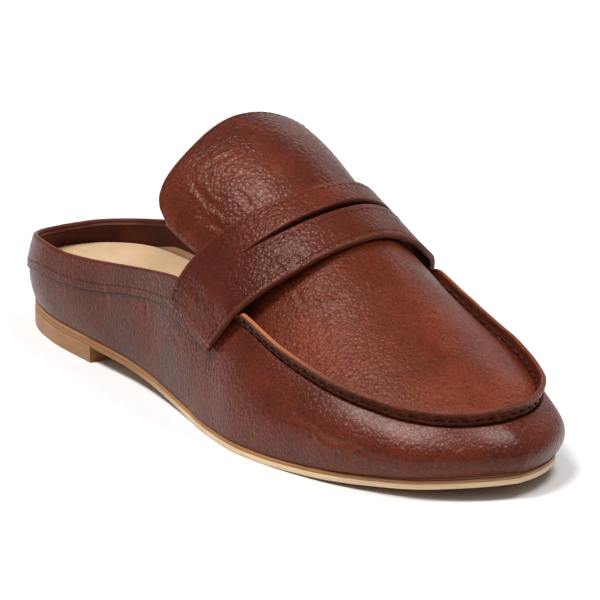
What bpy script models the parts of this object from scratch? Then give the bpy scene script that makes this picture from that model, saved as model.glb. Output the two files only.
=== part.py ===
# A right-foot loafer mule: outsole, heel block, insole, moccasin upper, tongue and saddle strap.
# Metres, +Z up, toe at +X, inner side of the foot at +Y, standing on Z = 0.
import math

import bpy
import numpy as np
from mathutils.bvhtree import BVHTree

SOLE_LENGTH = 0.258
BALL_WIDTH = 0.081
HEEL_HEIGHT = 0.0056
TOE_SPRING = 0.0042
SOLE_THICKNESS = 0.0031
INSTEP_HEIGHT = 0.062
WALL = 0.0020
TONGUE_THICKNESS = 0.0020
STRAP_THICKNESS = 0.0021
OVERHANG = 0.0026
SEAM_HEIGHT = 0.0042
SEAM_WIDTH = 0.0024
BAND_STEP = 0.0008
HEEL_LENGTH = 0.0625
FOOTBED_HEEL = 0.0130
FOOTBED_BALL = 0.0030
FOOTBED_HOLLOW = 0.0050
SLIT_OPENING = 0.0030
EDGE_ROUND = 0.0005
CLEARANCE = 0.0003

# Plan of the sole's edge: station along the length, outer side, inner side (shares of the ball width).
SOLE_PLAN = [
    (0.000, 0.000, 0.000),
    (0.004, -0.070, 0.070),
    (0.018, -0.140, 0.150),
    (0.056, -0.246, 0.262),
    (0.130, -0.325, 0.338),
    (0.233, -0.357, 0.345),
    (0.349, -0.373, 0.322),
    (0.426, -0.402, 0.310),
    (0.504, -0.449, 0.324),
    (0.581, -0.510, 0.376),
    (0.659, -0.545, 0.436),
    (0.717, -0.536, 0.457),
    (0.775, -0.507, 0.462),
    (0.833, -0.460, 0.452),
    (0.891, -0.379, 0.421),
    (0.938, -0.284, 0.375),
    (0.973, -0.146, 0.262),
    (0.992, -0.028, 0.155),
    (1.000, 0.062, 0.062),
]

# Underside of the sole: station, rise as a share of the heel height, rise as a share of the toe spring.
SOLE_PROFILE = [
    (0.00, 1.00, 0.00),
    (0.24, 0.93, 0.00),
    (0.31, 0.84, 0.00),
    (0.38, 0.62, 0.00),
    (0.46, 0.25, 0.00),
    (0.53, 0.02, 0.00),
    (0.56, 0.00, 0.00),
    (0.70, 0.00, 0.00),
    (0.73, 0.00, 0.02),
    (0.80, 0.00, 0.16),
    (0.90, 0.00, 0.52),
    (1.00, 0.00, 1.00),
]

# Upper edge of the wall on each side: rim round the heel, then the crest of the raised seam to the toe.
# Along, across and height, as shares of the sole length, the ball width and the instep height.
OUTER_TOP = [
    (0.008, 0.000, 0.468),
    (0.018, -0.125, 0.478),
    (0.050, -0.228, 0.505),
    (0.105, -0.300, 0.535),
    (0.165, -0.328, 0.542),
    (0.235, -0.346, 0.575),
    (0.310, -0.358, 0.622),
    (0.384, -0.374, 0.671),
    (0.461, -0.403, 0.718),
    (0.540, -0.428, 0.728),
    (0.628, -0.437, 0.692),
    (0.720, -0.441, 0.598),
    (0.814, -0.406, 0.519),
    (0.868, -0.345, 0.480),
    (0.907, -0.283, 0.456),
    (0.945, -0.190, 0.446),
    (0.966, -0.090, 0.446),
    (0.976, 0.031, 0.449),
]
INNER_TOP = [
    (0.008, 0.000, 0.468),
    (0.018, 0.140, 0.474),
    (0.052, 0.238, 0.492),
    (0.097, 0.290, 0.520),
    (0.155, 0.318, 0.560),
    (0.213, 0.333, 0.602),
    (0.267, 0.346, 0.645),
    (0.333, 0.372, 0.696),
    (0.399, 0.405, 0.742),
    (0.488, 0.455, 0.790),
    (0.562, 0.500, 0.796),
    (0.622, 0.512, 0.735),
    (0.716, 0.504, 0.624),
    (0.816, 0.478, 0.534),
    (0.880, 0.425, 0.485),
    (0.918, 0.365, 0.468),
    (0.951, 0.262, 0.452),
    (0.970, 0.146, 0.450),
    (0.976, 0.031, 0.449),
]

# How the wall swells between sole and upper edge: station, then for the outer and the inner side
# the bulge as a share of the overhang and the power with which the wall moves over to its upper edge.
WALL_SWELL = [
    (0.00, 0.85, 1.0, 0.85, 1.0),
    (0.12, 0.90, 1.0, 0.90, 1.0),
    (0.25, 0.80, 1.0, 1.30, 0.9),
    (0.35, 0.65, 1.1, 1.70, 0.8),
    (0.46, 0.50, 1.2, 1.90, 0.7),
    (0.58, 0.50, 1.1, 1.00, 0.9),
    (0.66, 0.75, 1.8, 0.95, 1.2),
    (0.75, 1.05, 2.2, 1.05, 1.8),
    (0.90, 1.40, 2.3, 1.40, 2.2),
    (1.00, 1.60, 2.3, 1.60, 2.3),
]

# Lower edge of the counter band, as a share of the wall's own height.
BAND_EDGE = [
    (0.00, 0.46),
    (0.05, 0.49),
    (0.12, 0.58),
    (0.20, 0.60),
    (0.28, 0.64),
    (0.35, 0.70),
    (0.42, 0.73),
    (1.00, 0.74),
]
BAND_END = 0.52
BAND_FADE = 0.03

# Crest of the instep form, from the tongue's free end to the toe.
CREST = [
    (0.380, 1.439),
    (0.410, 1.434),
    (0.453, 1.400),
    (0.500, 1.338),
    (0.539, 1.258),
    (0.575, 1.174),
    (0.620, 1.085),
    (0.672, 0.993),
    (0.717, 0.897),
    (0.775, 0.765),
    (0.833, 0.650),
    (0.891, 0.545),
    (0.938, 0.455),
    (0.976, 0.385),
]

# How full the form is between crest and shoulders (a power: less is squarer), outer and inner side.
FULLNESS = [
    (0.38, 0.60, 0.48),
    (0.45, 0.62, 0.50),
    (0.50, 0.68, 0.56),
    (0.55, 0.82, 0.72),
    (0.62, 0.92, 0.80),
    (0.70, 0.95, 0.90),
    (1.00, 0.95, 0.95),
]

# Shoulders of the form behind the raised seam: station, outer side, its height, inner side, its height.
SHOULDERS = [
    (0.380, -0.370, 1.032, 0.450, 1.121),
    (0.403, -0.376, 0.997, 0.452, 1.077),
    (0.438, -0.378, 0.945, 0.450, 1.021),
    (0.488, -0.368, 0.869, 0.440, 0.942),
    (0.508, -0.366, 0.847, 0.436, 0.919),
    (0.600, -0.405, 0.690, 0.470, 0.740),
]

# Inner face of the saddle strap, from the outer hem over the instep to the inner hem:
# its rear edge (along, across, height), then its front edge (along, across, height).
STRAP = [
    (0.473, -0.443, 0.561, 0.579, -0.478, 0.452),
    (0.481, -0.440, 0.645, 0.599, -0.475, 0.565),
    (0.492, -0.418, 0.750, 0.619, -0.450, 0.671),
    (0.508, -0.370, 0.865, 0.633, -0.395, 0.752),
    (0.529, -0.309, 0.981, 0.646, -0.321, 0.828),
    (0.550, -0.228, 1.077, 0.659, -0.228, 0.900),
    (0.567, -0.117, 1.150, 0.668, -0.115, 0.968),
    (0.575, 0.012, 1.191, 0.672, 0.012, 1.008),
    (0.570, 0.136, 1.190, 0.663, 0.136, 1.005),
    (0.558, 0.247, 1.156, 0.649, 0.247, 0.965),
    (0.543, 0.346, 1.085, 0.641, 0.346, 0.905),
    (0.523, 0.415, 0.990, 0.630, 0.426, 0.829),
    (0.506, 0.455, 0.885, 0.614, 0.495, 0.745),
    (0.493, 0.470, 0.755, 0.600, 0.507, 0.613),
    (0.468, 0.464, 0.568, 0.583, 0.488, 0.477),
]
STRAP_COLUMNS = 41
STRAP_BELLY = 0.0010
STRAP_CLEARANCE = 0.0005
# The strap is laid onto what is this near below or above it; its hems lie on the walls.
RAY_REACH = 0.008
HEM_LIES_TO = 0.08
HEM_FREE_FROM = 0.18
SLIT_FROM = 0.24
SLIT_TO = 0.80
SLIT_PLACE = 0.44
SLIT_END = 0.0006

# Free end of the tongue: how far across it, and the station where it ends there.
TONGUE_END = [
    (-1.00, 0.432),
    (-0.98, 0.412),
    (-0.94, 0.404),
    (-0.85, 0.401),
    (-0.60, 0.402),
    (-0.30, 0.399),
    (0.00, 0.397),
    (0.30, 0.397),
    (0.60, 0.399),
    (0.85, 0.399),
    (0.94, 0.402),
    (0.98, 0.411),
    (1.00, 0.428),
]
# Under the strap the tongue grows narrow and laps over the apron's sunken rear edge.
TONGUE_ROOT = 0.600
LAP_END = 0.626
LAP_ROOM = 0.0024
TONGUE_NARROW_FROM = 0.490
TONGUE_NARROW_TO = 0.560
TONGUE_ROOT_WIDTH = 0.79

# Padding of the footbed: station, share of its heel height, share of its height at the ball.
FOOTBED = [
    (0.00, 0.92, 0.00),
    (0.08, 1.00, 0.00),
    (0.13, 0.92, 0.00),
    (0.18, 0.80, 0.00),
    (0.26, 0.58, 0.10),
    (0.45, 0.25, 0.50),
    (0.60, 0.00, 1.00),
    (1.00, 0.00, 0.85),
]

# Under the strap the rim sinks to the foot of the raised seam, which rises just behind the strap's front edge.
RIM_SINKS_FROM = 0.492
RIM_SINKS_TO = 0.545
APRON_START = 0.570
SEAM_START = 0.600
SEAM_FULL = 0.634
SEAM_LEAN = math.radians(24)

HALF_STATIONS = 42
RISES_BELOW = [0, 0.10, 0.24, 0.40, 0.57, 0.75, 0.90, 1.0]
RISES_ABOVE = [0.08, 0.30, 0.55, 0.80, 1.0]
APRON_ACROSS = 14


def smooth(table, at, column=1):
    """Value of a table's column at a station, on a cubic that doesn't overshoot its rows."""
    xs = np.array([row[0] for row in table])
    ys = np.array([row[column] for row in table])
    steps = np.diff(xs)
    slopes = np.diff(ys) / steps
    tangents = np.zeros(len(xs))
    tangents[0] = slopes[0]
    tangents[-1] = slopes[-1]
    for i in range(1, len(xs) - 1):
        if slopes[i - 1] * slopes[i] > 0:
            w0 = 2 * steps[i] + steps[i - 1]
            w1 = steps[i] + 2 * steps[i - 1]
            tangents[i] = (w0 + w1) / (w0 / slopes[i - 1] + w1 / slopes[i])
    at = min(max(at, xs[0]), xs[-1])
    i = min(int(np.searchsorted(xs, at, side="right")) - 1, len(xs) - 2)
    t = (at - xs[i]) / steps[i]
    low = ys[i] * (1 + 2 * t) * (1 - t) ** 2 + tangents[i] * steps[i] * t * (1 - t) ** 2
    high = ys[i + 1] * t * t * (3 - 2 * t) - tangents[i + 1] * steps[i] * t * t * (1 - t)
    return low + high


def ease(value, low, high):
    """0 below low, 1 above high, and a smooth step between them."""
    t = min(max((value - low) / (high - low), 0), 1)
    return t * t * (3 - 2 * t)


def curve_through(points, samples=24):
    """Dense points on a centripetal Catmull-Rom curve through the given points."""
    points = [np.array(p, float) for p in points]
    ends = [2 * points[0] - points[1]] + points + [2 * points[-1] - points[-2]]
    dense = []
    for p0, p1, p2, p3 in zip(ends, ends[1:], ends[2:], ends[3:]):
        t1 = math.sqrt(np.linalg.norm(p1 - p0))
        t2 = t1 + math.sqrt(np.linalg.norm(p2 - p1))
        t3 = t2 + math.sqrt(np.linalg.norm(p3 - p2))
        for t in np.linspace(t1, t2, samples, endpoint=False):
            a1 = (t1 - t) / t1 * p0 + t / t1 * p1
            a2 = (t2 - t) / (t2 - t1) * p1 + (t - t1) / (t2 - t1) * p2
            a3 = (t3 - t) / (t3 - t2) * p2 + (t - t2) / (t3 - t2) * p3
            b1 = (t2 - t) / t2 * a1 + t / t2 * a2
            b2 = (t3 - t) / (t3 - t1) * a2 + (t - t1) / (t3 - t1) * a3
            dense.append((t2 - t) / (t2 - t1) * b1 + (t - t1) / (t2 - t1) * b2)
    dense.append(points[-1])
    return np.array(dense)


def length_shares(dense):
    """How far along its own length each point of a dense curve lies."""
    lengths = np.concatenate([[0], np.cumsum(np.linalg.norm(np.diff(dense, axis=0), axis=1))])
    return lengths / lengths[-1]


def at_shares(dense, shares):
    """Points at the given shares of a dense curve's length."""
    own = length_shares(dense)
    return np.stack([np.interp(shares, own, column) for column in dense.T], axis=1)


def scaled(rows):
    """Rows of shares as lengths: along, across and height."""
    return np.array(rows) * np.array([SOLE_LENGTH, BALL_WIDTH, INSTEP_HEIGHT])


def sole_bottom(along):
    """Height of the sole's underside at a station."""
    return smooth(SOLE_PROFILE, along, 1) * HEEL_HEIGHT + smooth(SOLE_PROFILE, along, 2) * TOE_SPRING


def sole_ring():
    """Plan points of the sole's edge: heel back, outer side, toe tip, inner side."""
    size = np.array([SOLE_LENGTH, BALL_WIDTH])
    outer = curve_through([(along, left) for along, left, _ in SOLE_PLAN] * size)
    inner = curve_through([(along, right) for along, _, right in SOLE_PLAN] * size)
    lateral = at_shares(outer, np.arange(HALF_STATIONS + 1) / HALF_STATIONS)
    # The inner side has its stations at the same places along the length as the outer side.
    order = np.argsort(inner[:, 0], kind="stable")
    medial = at_shares(inner, np.interp(lateral[:, 0], inner[order, 0], length_shares(inner)[order]))
    return np.concatenate([lateral, medial[-2:0:-1]])


def outward(ring):
    """Unit plan normals of a closed ring that runs heel, outer side, toe, inner side."""
    tangents = np.roll(ring, -1, axis=0) - np.roll(ring, 1, axis=0)
    normals = np.stack([tangents[:, 1], -tangents[:, 0]], axis=1)
    return normals / np.linalg.norm(normals, axis=1, keepdims=True)


RING = sole_ring()
OUTWARD = outward(RING)
COUNT = len(RING)
TOE = HALF_STATIONS


def top_ring():
    """Upper edge of the wall at each station of the sole's ring."""
    medial_half = np.concatenate([RING[TOE:], RING[:1]])[::-1]
    lateral = at_shares(curve_through(scaled(OUTER_TOP)), np.arange(TOE + 1) / TOE)
    medial = at_shares(curve_through(scaled(INNER_TOP)), length_shares(medial_half))
    return np.concatenate([lateral, medial[-2:0:-1]])


TOP = top_ring()
TOP_OUTWARD = outward(TOP[:, :2])
FRONT = [k for k in range(COUNT) if TOP[k][0] / SOLE_LENGTH >= APRON_START]


def station_of(k):
    return RING[k][0] / SOLE_LENGTH


def seam_rise(k):
    """Height of the raised seam at a station."""
    return SEAM_HEIGHT * ease(TOP[k][0] / SOLE_LENGTH, SEAM_START, SEAM_FULL)


def seam_axes(k):
    """Up and outward directions of the raised seam's own section."""
    x, y = TOP_OUTWARD[k]
    rise, reach = math.cos(SEAM_LEAN), math.sin(SEAM_LEAN)
    return np.array([x * reach, y * reach, rise]), np.array([x * rise, y * rise, -reach])


def seam_foot(k, side):
    """Foot of the raised seam: side 1 is on the wall, -1 on the apron."""
    up, out = seam_axes(k)
    return TOP[k] - up * SEAM_HEIGHT + out * side * SEAM_WIDTH / 2


def wall_top(k):
    """Where the wall's outer face ends: on the rim behind, at the seam's foot in front."""
    share = ease(TOP[k][0] / SOLE_LENGTH, RIM_SINKS_FROM, RIM_SINKS_TO)
    return TOP[k] * (1 - share) + seam_foot(k, 1) * share


def wall_point(k, rise):
    """Outer face of the wall at a station; rise runs from 0 at the sole to 1 at the upper edge."""
    along = station_of(k)
    column = 1 if k <= TOE else 3
    normal = OUTWARD[k]
    foot = RING[k] - normal * CLEARANCE
    foot_height = sole_bottom(along) + SOLE_THICKNESS + CLEARANCE
    top = wall_top(k)
    bulge = smooth(WALL_SWELL, along, column) * OVERHANG * math.sin(math.pi * rise**0.85)
    plan = foot + (top[:2] - foot) * rise ** smooth(WALL_SWELL, along, column + 1) + normal * bulge
    return np.array([plan[0], plan[1], foot_height + (top[2] - foot_height) * rise])


def crown(along, share, left, right):
    """Height of the instep form over the chord between its shoulders; share runs outer to inner."""
    height = smooth(CREST, along) * INSTEP_HEIGHT - (left[2] + right[2]) / 2
    power = smooth(FULLNESS, along, 1 if share < 0.5 else 2)
    return max(height, 0) * math.sin(math.pi * share) ** power


def shoulder(along, side):
    """Edge of the instep form behind the raised seam: side -1 is the outer one, 1 the inner one."""
    column = 1 if side < 0 else 3
    y = smooth(SHOULDERS, along, column) * BALL_WIDTH
    z = smooth(SHOULDERS, along, column + 1) * INSTEP_HEIGHT
    return np.array([along * SOLE_LENGTH, y, z])


def instep_point(along, across):
    """Instep form behind the seam, at a station and an across share from -1 outer to 1 inner."""
    left, right = shoulder(along, -1), shoulder(along, 1)
    share = (across + 1) / 2
    return left + (right - left) * share + np.array([0, 0, crown(along, share, left, right)])


def material(name, colour, roughness):
    made = bpy.data.materials.new(name)
    made.use_nodes = True
    shader = made.node_tree.nodes["Principled BSDF"]
    shader.inputs["Base Color"].default_value = (*colour, 1)
    shader.inputs["Roughness"].default_value = roughness
    shader.inputs["Metallic"].default_value = 0
    return made


def plan_middle():
    """Plan centre of the whole shoe, from the wall's reach and its upper edge."""
    points = [wall_point(k, rise) for k in range(COUNT) for rise in np.linspace(0, 1, 21)]
    points = np.array(points + list(TOP))
    low, high = points.min(axis=0), points.max(axis=0)
    return np.array([(low[0] + high[0]) / 2, (low[1] + high[1]) / 2, 0])


MIDDLE = plan_middle()


def mesh_object(name, points, faces, finish, home):
    """Object from faces over shared points, placed so that the shoe is centred on the origin."""
    mesh = bpy.data.meshes.new(name)
    mesh.from_pydata([tuple(p - MIDDLE) for p in points], [], faces)
    mesh.materials.append(finish)
    obj = bpy.data.objects.new(name, mesh)
    home.objects.link(obj)
    return obj


def baked(obj):
    """Replaces an object's mesh by its evaluated one and drops the modifiers."""
    graph = bpy.context.evaluated_depsgraph_get()
    made = bpy.data.meshes.new_from_object(obj.evaluated_get(graph))
    obj.modifiers.clear()
    obj.data = made
    return obj


def thickened(obj, thickness, side):
    """Turns an open sheet into a leather of the given thickness, on the side of its normals (1) or behind (-1)."""
    wall = obj.modifiers.new("leather", "SOLIDIFY")
    wall.thickness = thickness
    wall.offset = side
    return baked(obj)


def grid_faces(rows, columns, closed=False):
    """Quads over a grid of points numbered row by row."""
    faces = []
    for r in range(rows - 1):
        for c in range(columns if closed else columns - 1):
            here, beside = r * columns + c, r * columns + (c + 1) % columns
            faces.append((here, beside, beside + columns, here + columns))
    return faces


def ring_at(inset, height):
    """Ring inside the sole's edge by an inset, with the height given by station."""
    plan = RING - OUTWARD * inset
    return [np.array([x, y, height(station_of(k))]) for k, (x, y) in enumerate(plan)]


def plate(name, rings, across, finish, home, hollow=None):
    """Closed plate from rings listed top to bottom, capped by ribs that join the two sides."""
    points = [p for ring in rings for p in ring]
    faces = [face[::-1] for face in grid_faces(len(rings), COUNT, closed=True)]
    for start, top in ((0, True), ((len(rings) - 1) * COUNT, False)):
        ribs = []
        for k in range(TOE + 1):
            left, right = start + k, start + (COUNT - k) % COUNT
            rib = [left]
            for c in range(1, across):
                if left == right:
                    rib.append(left)
                    continue
                share = c / across
                point = points[left] * (1 - share) + points[right] * share
                if top and hollow:
                    point = point - np.array([0, 0, hollow(k / TOE, share)])
                rib.append(len(points))
                points.append(point)
            ribs.append(rib + [right])
        for one, two in zip(ribs, ribs[1:]):
            for c in range(across):
                loop = [two[c], two[c + 1], one[c + 1], one[c]]
                loop = [v for i, v in enumerate(loop) if v != loop[i - 1]]
                faces.append(tuple(loop if top else loop[::-1]))
    return mesh_object(name, points, faces, finish, home)


def make_outsole(home, finish):
    rings = [
        ring_at(0, lambda along: sole_bottom(along) + SOLE_THICKNESS),
        ring_at(0, lambda along: sole_bottom(along) + EDGE_ROUND),
        ring_at(EDGE_ROUND, sole_bottom),
    ]
    return plate("outsole", rings, 4, finish, home)


def make_heel_block(home, finish):
    """Low lift under the seat, cut straight at its breast."""
    seat = [k for k in range(COUNT) if RING[k][0] < HEEL_LENGTH - 0.003]
    outer = [k for k in seat if k < TOE]
    inner = [k for k in seat if k > TOE]

    def corner(last, following, inset):
        share = (HEEL_LENGTH - RING[last][0]) / (RING[following][0] - RING[last][0])
        y = RING[last][1] + (RING[following][1] - RING[last][1]) * share - OUTWARD[last][1] * inset
        return np.array([HEEL_LENGTH, y])

    def ring(inset, height):
        start, end = corner(outer[-1], outer[-1] + 1, inset), corner(inner[0], inner[0] - 1, inset)
        plan = [RING[k] - OUTWARD[k] * inset for k in outer]
        plan += [start + (end - start) * share for share in (0, 0.25, 0.5, 0.75, 1)]
        plan += [RING[k] - OUTWARD[k] * inset for k in inner]
        return [np.array([x, y, height(x / SOLE_LENGTH)]) for x, y in plan]

    rings = [
        ring(CLEARANCE, lambda along: sole_bottom(along) - CLEARANCE),
        ring(CLEARANCE, lambda along: EDGE_ROUND),
        ring(CLEARANCE + EDGE_ROUND, lambda along: 0),
    ]
    columns = len(rings[0])
    points = [p for one in rings for p in one]
    faces = [face[::-1] for face in grid_faces(len(rings), columns, closed=True)]
    faces.append(tuple(range(columns)))
    faces.append(tuple(range(2 * columns, 3 * columns))[::-1])
    return mesh_object("heel_block", points, faces, finish, home)


def make_insole(home, finish):
    """Padded footbed with a cupped heel, inside the upper's wall."""
    inset = WALL + CLEARANCE * 3
    edge = EDGE_ROUND * 1.6

    def under(along):
        return sole_bottom(along) + SOLE_THICKNESS + CLEARANCE

    def over(along):
        return under(along) + smooth(FOOTBED, along, 1) * FOOTBED_HEEL + smooth(FOOTBED, along, 2) * FOOTBED_BALL

    def hollow(along, share):
        reach = ease(along, 0, 0.15) * (1 - ease(along, 0.3, 0.55))
        return FOOTBED_HOLLOW * math.sin(math.pi * share) ** 0.6 * reach

    rings = [
        ring_at(inset + edge, over),
        ring_at(inset, lambda along: over(along) - edge),
        ring_at(inset, under),
    ]
    return plate("insole", rings, 8, finish, home, hollow)


def make_upper(home, finish):
    """Hollow upper: the wall strip, the apron between the seams, the raised seam and the counter band."""
    rows = [("under the band", share) for share in RISES_BELOW] + [("band", share) for share in RISES_ABOVE]
    points = []
    on_band = []
    for part, share in rows:
        for k in range(COUNT):
            edge = smooth(BAND_EDGE, station_of(k))
            if part == "band":
                on_band.append(len(points))
            points.append(wall_point(k, edge + (1 - edge) * share if part == "band" else edge * share))
    faces = grid_faces(len(rows), COUNT, closed=True)
    last_row = (len(rows) - 1) * COUNT

    # Three more points a station carry the seam from the wall's edge to the apron's.
    seam = {}
    for k in FRONT:
        foot, end = seam_foot(k, 1), seam_foot(k, -1)
        seam[k] = [last_row + k]
        for share in (1 / 3, 2 / 3, 1):
            seam[k].append(len(points))
            points.append(foot + (end - foot) * share)
    for one, two in zip(FRONT, FRONT[1:]):
        faces += [(seam[one][c], seam[two][c], seam[two][c + 1], seam[one][c + 1]) for c in range(3)]

    # Ribs of the apron, each from a station on the outer side to its partner on the inner side.
    ribs = []
    first, last = FRONT[0], FRONT[-1]
    while first < last:
        left, right = points[seam[first][3]], points[seam[last][3]]
        rib = [seam[first][3]]
        for c in range(1, APRON_ACROSS):
            share = c / APRON_ACROSS
            point = left + (right - left) * share
            along = point[0] / SOLE_LENGTH
            sink = (TONGUE_THICKNESS + LAP_ROOM) * (1 - ease(along, TONGUE_ROOT, LAP_END))
            height = crown(along, share, left, right) - sink * math.sqrt(math.sin(math.pi * share))
            rib.append(len(points))
            points.append(point + np.array([0, 0, height]))
        ribs.append(rib + [seam[last][3]])
        first, last = first + 1, last - 1
    for one, two in zip(ribs, ribs[1:]):
        faces += [(one[c], two[c], two[c + 1], one[c + 1]) for c in range(APRON_ACROSS)]
    if first == last:
        faces += [(ribs[-1][c], seam[first][3], ribs[-1][c + 1]) for c in range(APRON_ACROSS)]
    upper = thickened(mesh_object("upper", points, faces, finish, home), WALL, -1)

    # The first points are the outer face: only they rise into the seam and the band.
    vertices = upper.data.vertices
    for k in FRONT:
        up, _ = seam_axes(k)
        middle = (seam_foot(k, 1) + seam_foot(k, -1)) / 2
        spread_out = 1 / 3 + 2 / 3 * seam_rise(k) / SEAM_HEIGHT
        for vertex, side in ((seam[k][1], 1), (seam[k][2], -1)):
            edge = middle + (seam_foot(k, side) - middle) * spread_out
            vertices[vertex].co = tuple(edge + up * seam_rise(k) - MIDDLE)
    for index in on_band:
        k = index % COUNT
        step = BAND_STEP * (1 - ease(station_of(k), BAND_END - BAND_FADE, BAND_END))
        vertices[index].co.x += OUTWARD[k][0] * step
        vertices[index].co.y += OUTWARD[k][1] * step
    return upper


def make_tongue(home, finish):
    """Leather tongue on the instep form, its narrow root lapped under the apron."""
    rows, columns = 15, 21
    points = []
    for r in range(rows):
        for c in range(columns):
            across = -math.cos(math.pi * c / (columns - 1))
            along = TONGUE_ROOT + (smooth(TONGUE_END, across) - TONGUE_ROOT) * r / (rows - 1)
            under = ease(along, TONGUE_NARROW_FROM, TONGUE_NARROW_TO)
            points.append(instep_point(along, across * (1 - (1 - TONGUE_ROOT_WIDTH) * under)))
    tongue = mesh_object("tongue", points, grid_faces(rows, columns), finish, home)
    return thickened(tongue, TONGUE_THICKNESS, -1)


def sheet_normals(sheet):
    """Outward unit normals of a grid of points that runs from outer to inner hem and from rear to front."""
    across = np.gradient(sheet, axis=1)
    along = np.gradient(sheet, axis=0)
    normals = np.cross(along, across)
    return normals / np.linalg.norm(normals, axis=2, keepdims=True)


def spread(values, reach, combine):
    """Combines each value of a grid with its neighbours within reach."""
    padded = np.pad(values, reach, mode="edge")
    shifts = range(2 * reach + 1)
    rows, columns = values.shape
    return combine([padded[r : r + rows, c : c + columns] for r in shifts for c in shifts], axis=0)


def laid_on(sheet, solids, hems):
    """Moves a sheet along its normals until it clears the solids; its hems come down onto them."""
    trees = []
    for obj in solids:
        corners = [vertex.co for vertex in obj.data.vertices]
        trees.append(BVHTree.FromPolygons(corners, [tuple(p.vertices) for p in obj.data.polygons]))
    rows, columns, _ = sheet.shape
    fine_rows = np.arange(2 * rows - 1) / 2
    fine_columns = np.arange(2 * columns - 1) / 2
    low_rows, low_columns = np.floor(fine_rows).astype(int), np.floor(fine_columns).astype(int)
    high_rows, high_columns = np.ceil(fine_rows).astype(int), np.ceil(fine_columns).astype(int)
    normals = sheet_normals(sheet)

    def between(grid):
        halves = (grid[low_rows] + grid[high_rows]) / 2
        return (halves[:, low_columns] + halves[:, high_columns]) / 2

    fine, directions = between(sheet), between(normals)
    needed = np.full(fine.shape[:2], -RAY_REACH)
    for r, c in np.ndindex(*needed.shape):
        start = fine[r, c] - MIDDLE + directions[r, c] * RAY_REACH
        for tree in trees:
            distance = tree.ray_cast(start, -directions[r, c], 2 * RAY_REACH)[3]
            if distance is not None:
                needed[r, c] = max(needed[r, c], RAY_REACH - distance + STRAP_CLEARANCE)
    lift = spread(needed, 2, np.max)[::2, ::2]
    lift = np.where(lift > 0, lift, np.where(lift > -RAY_REACH, lift * hems, 0))
    return sheet + normals * np.maximum(spread(lift, 2, np.mean), lift)[..., None]


def slit_opening(share):
    """Width of the mouth-shaped slit along the strap."""
    if not SLIT_FROM < share < SLIT_TO:
        return 0
    return SLIT_OPENING * math.sin(math.pi * (share - SLIT_FROM) / (SLIT_TO - SLIT_FROM)) ** 0.8


def make_strap(home, finish, upper, tongue):
    """Saddle strap from hem to hem, with its slit, lying on the tongue and on the upper's walls."""
    shares = np.linspace(0, 1, STRAP_COLUMNS)
    rear = at_shares(curve_through(scaled([row[:3] for row in STRAP])), shares)
    front = at_shares(curve_through(scaled([row[3:] for row in STRAP])), shares)
    # Each half, behind and before the slit, has the same number of ribs.
    half_ribs = 5
    sheet = np.zeros((2 * half_ribs, STRAP_COLUMNS, 3))
    for r, c in np.ndindex(*sheet.shape[:2]):
        width = np.linalg.norm(front[c] - rear[c])
        gap = (SLIT_END + slit_opening(shares[c])) / 2 / width
        if r < half_ribs:
            place = (SLIT_PLACE - gap) * r / (half_ribs - 1)
        else:
            place = 1 - (1 - SLIT_PLACE - gap) * (2 * half_ribs - 1 - r) / (half_ribs - 1)
        belly = STRAP_BELLY * math.sin(math.pi * place) * math.sin(math.pi * shares[c])
        sheet[r, c] = rear[c] + (front[c] - rear[c]) * place + np.array([0, 0, belly])
    hems = np.array([1 - ease(min(share, 1 - share), HEM_LIES_TO, HEM_FREE_FROM) for share in shares])
    sheet = laid_on(sheet, (upper, tongue), hems)
    faces = []
    for face in grid_faces(2 * half_ribs, STRAP_COLUMNS):
        row, column = divmod(face[0], STRAP_COLUMNS)
        inside = shares[column] >= SLIT_FROM and shares[column + 1] <= SLIT_TO
        if row != half_ribs - 1 or not inside:
            faces.append(face[::-1])
    strap = mesh_object("saddle_strap", sheet.reshape(-1, 3), faces, finish, home)
    return thickened(strap, STRAP_THICKNESS, 1)


def main():
    for obj in list(bpy.data.objects):
        bpy.data.objects.remove(obj, do_unlink=True)
    home = bpy.data.collections.new("loafer mule")
    bpy.context.scene.collection.children.link(home)
    cognac = material("cognac leather", (0.155, 0.031, 0.017), 0.42)
    tan = material("tan sole leather", (0.42, 0.22, 0.09), 0.5)
    cream = material("cream sock leather", (0.72, 0.58, 0.40), 0.6)
    make_outsole(home, tan)
    make_heel_block(home, tan)
    make_insole(home, cream)
    upper = make_upper(home, cognac)
    tongue = make_tongue(home, cognac)
    make_strap(home, cognac, upper, tongue)
    for obj in home.objects:
        obj.data.shade_smooth()
        obj.data.set_sharp_from_angle(angle=math.radians(40))


main()
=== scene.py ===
import math

import bmesh
import bpy
import numpy as np
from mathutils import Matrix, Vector
from mathutils.bvhtree import BVHTree


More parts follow.
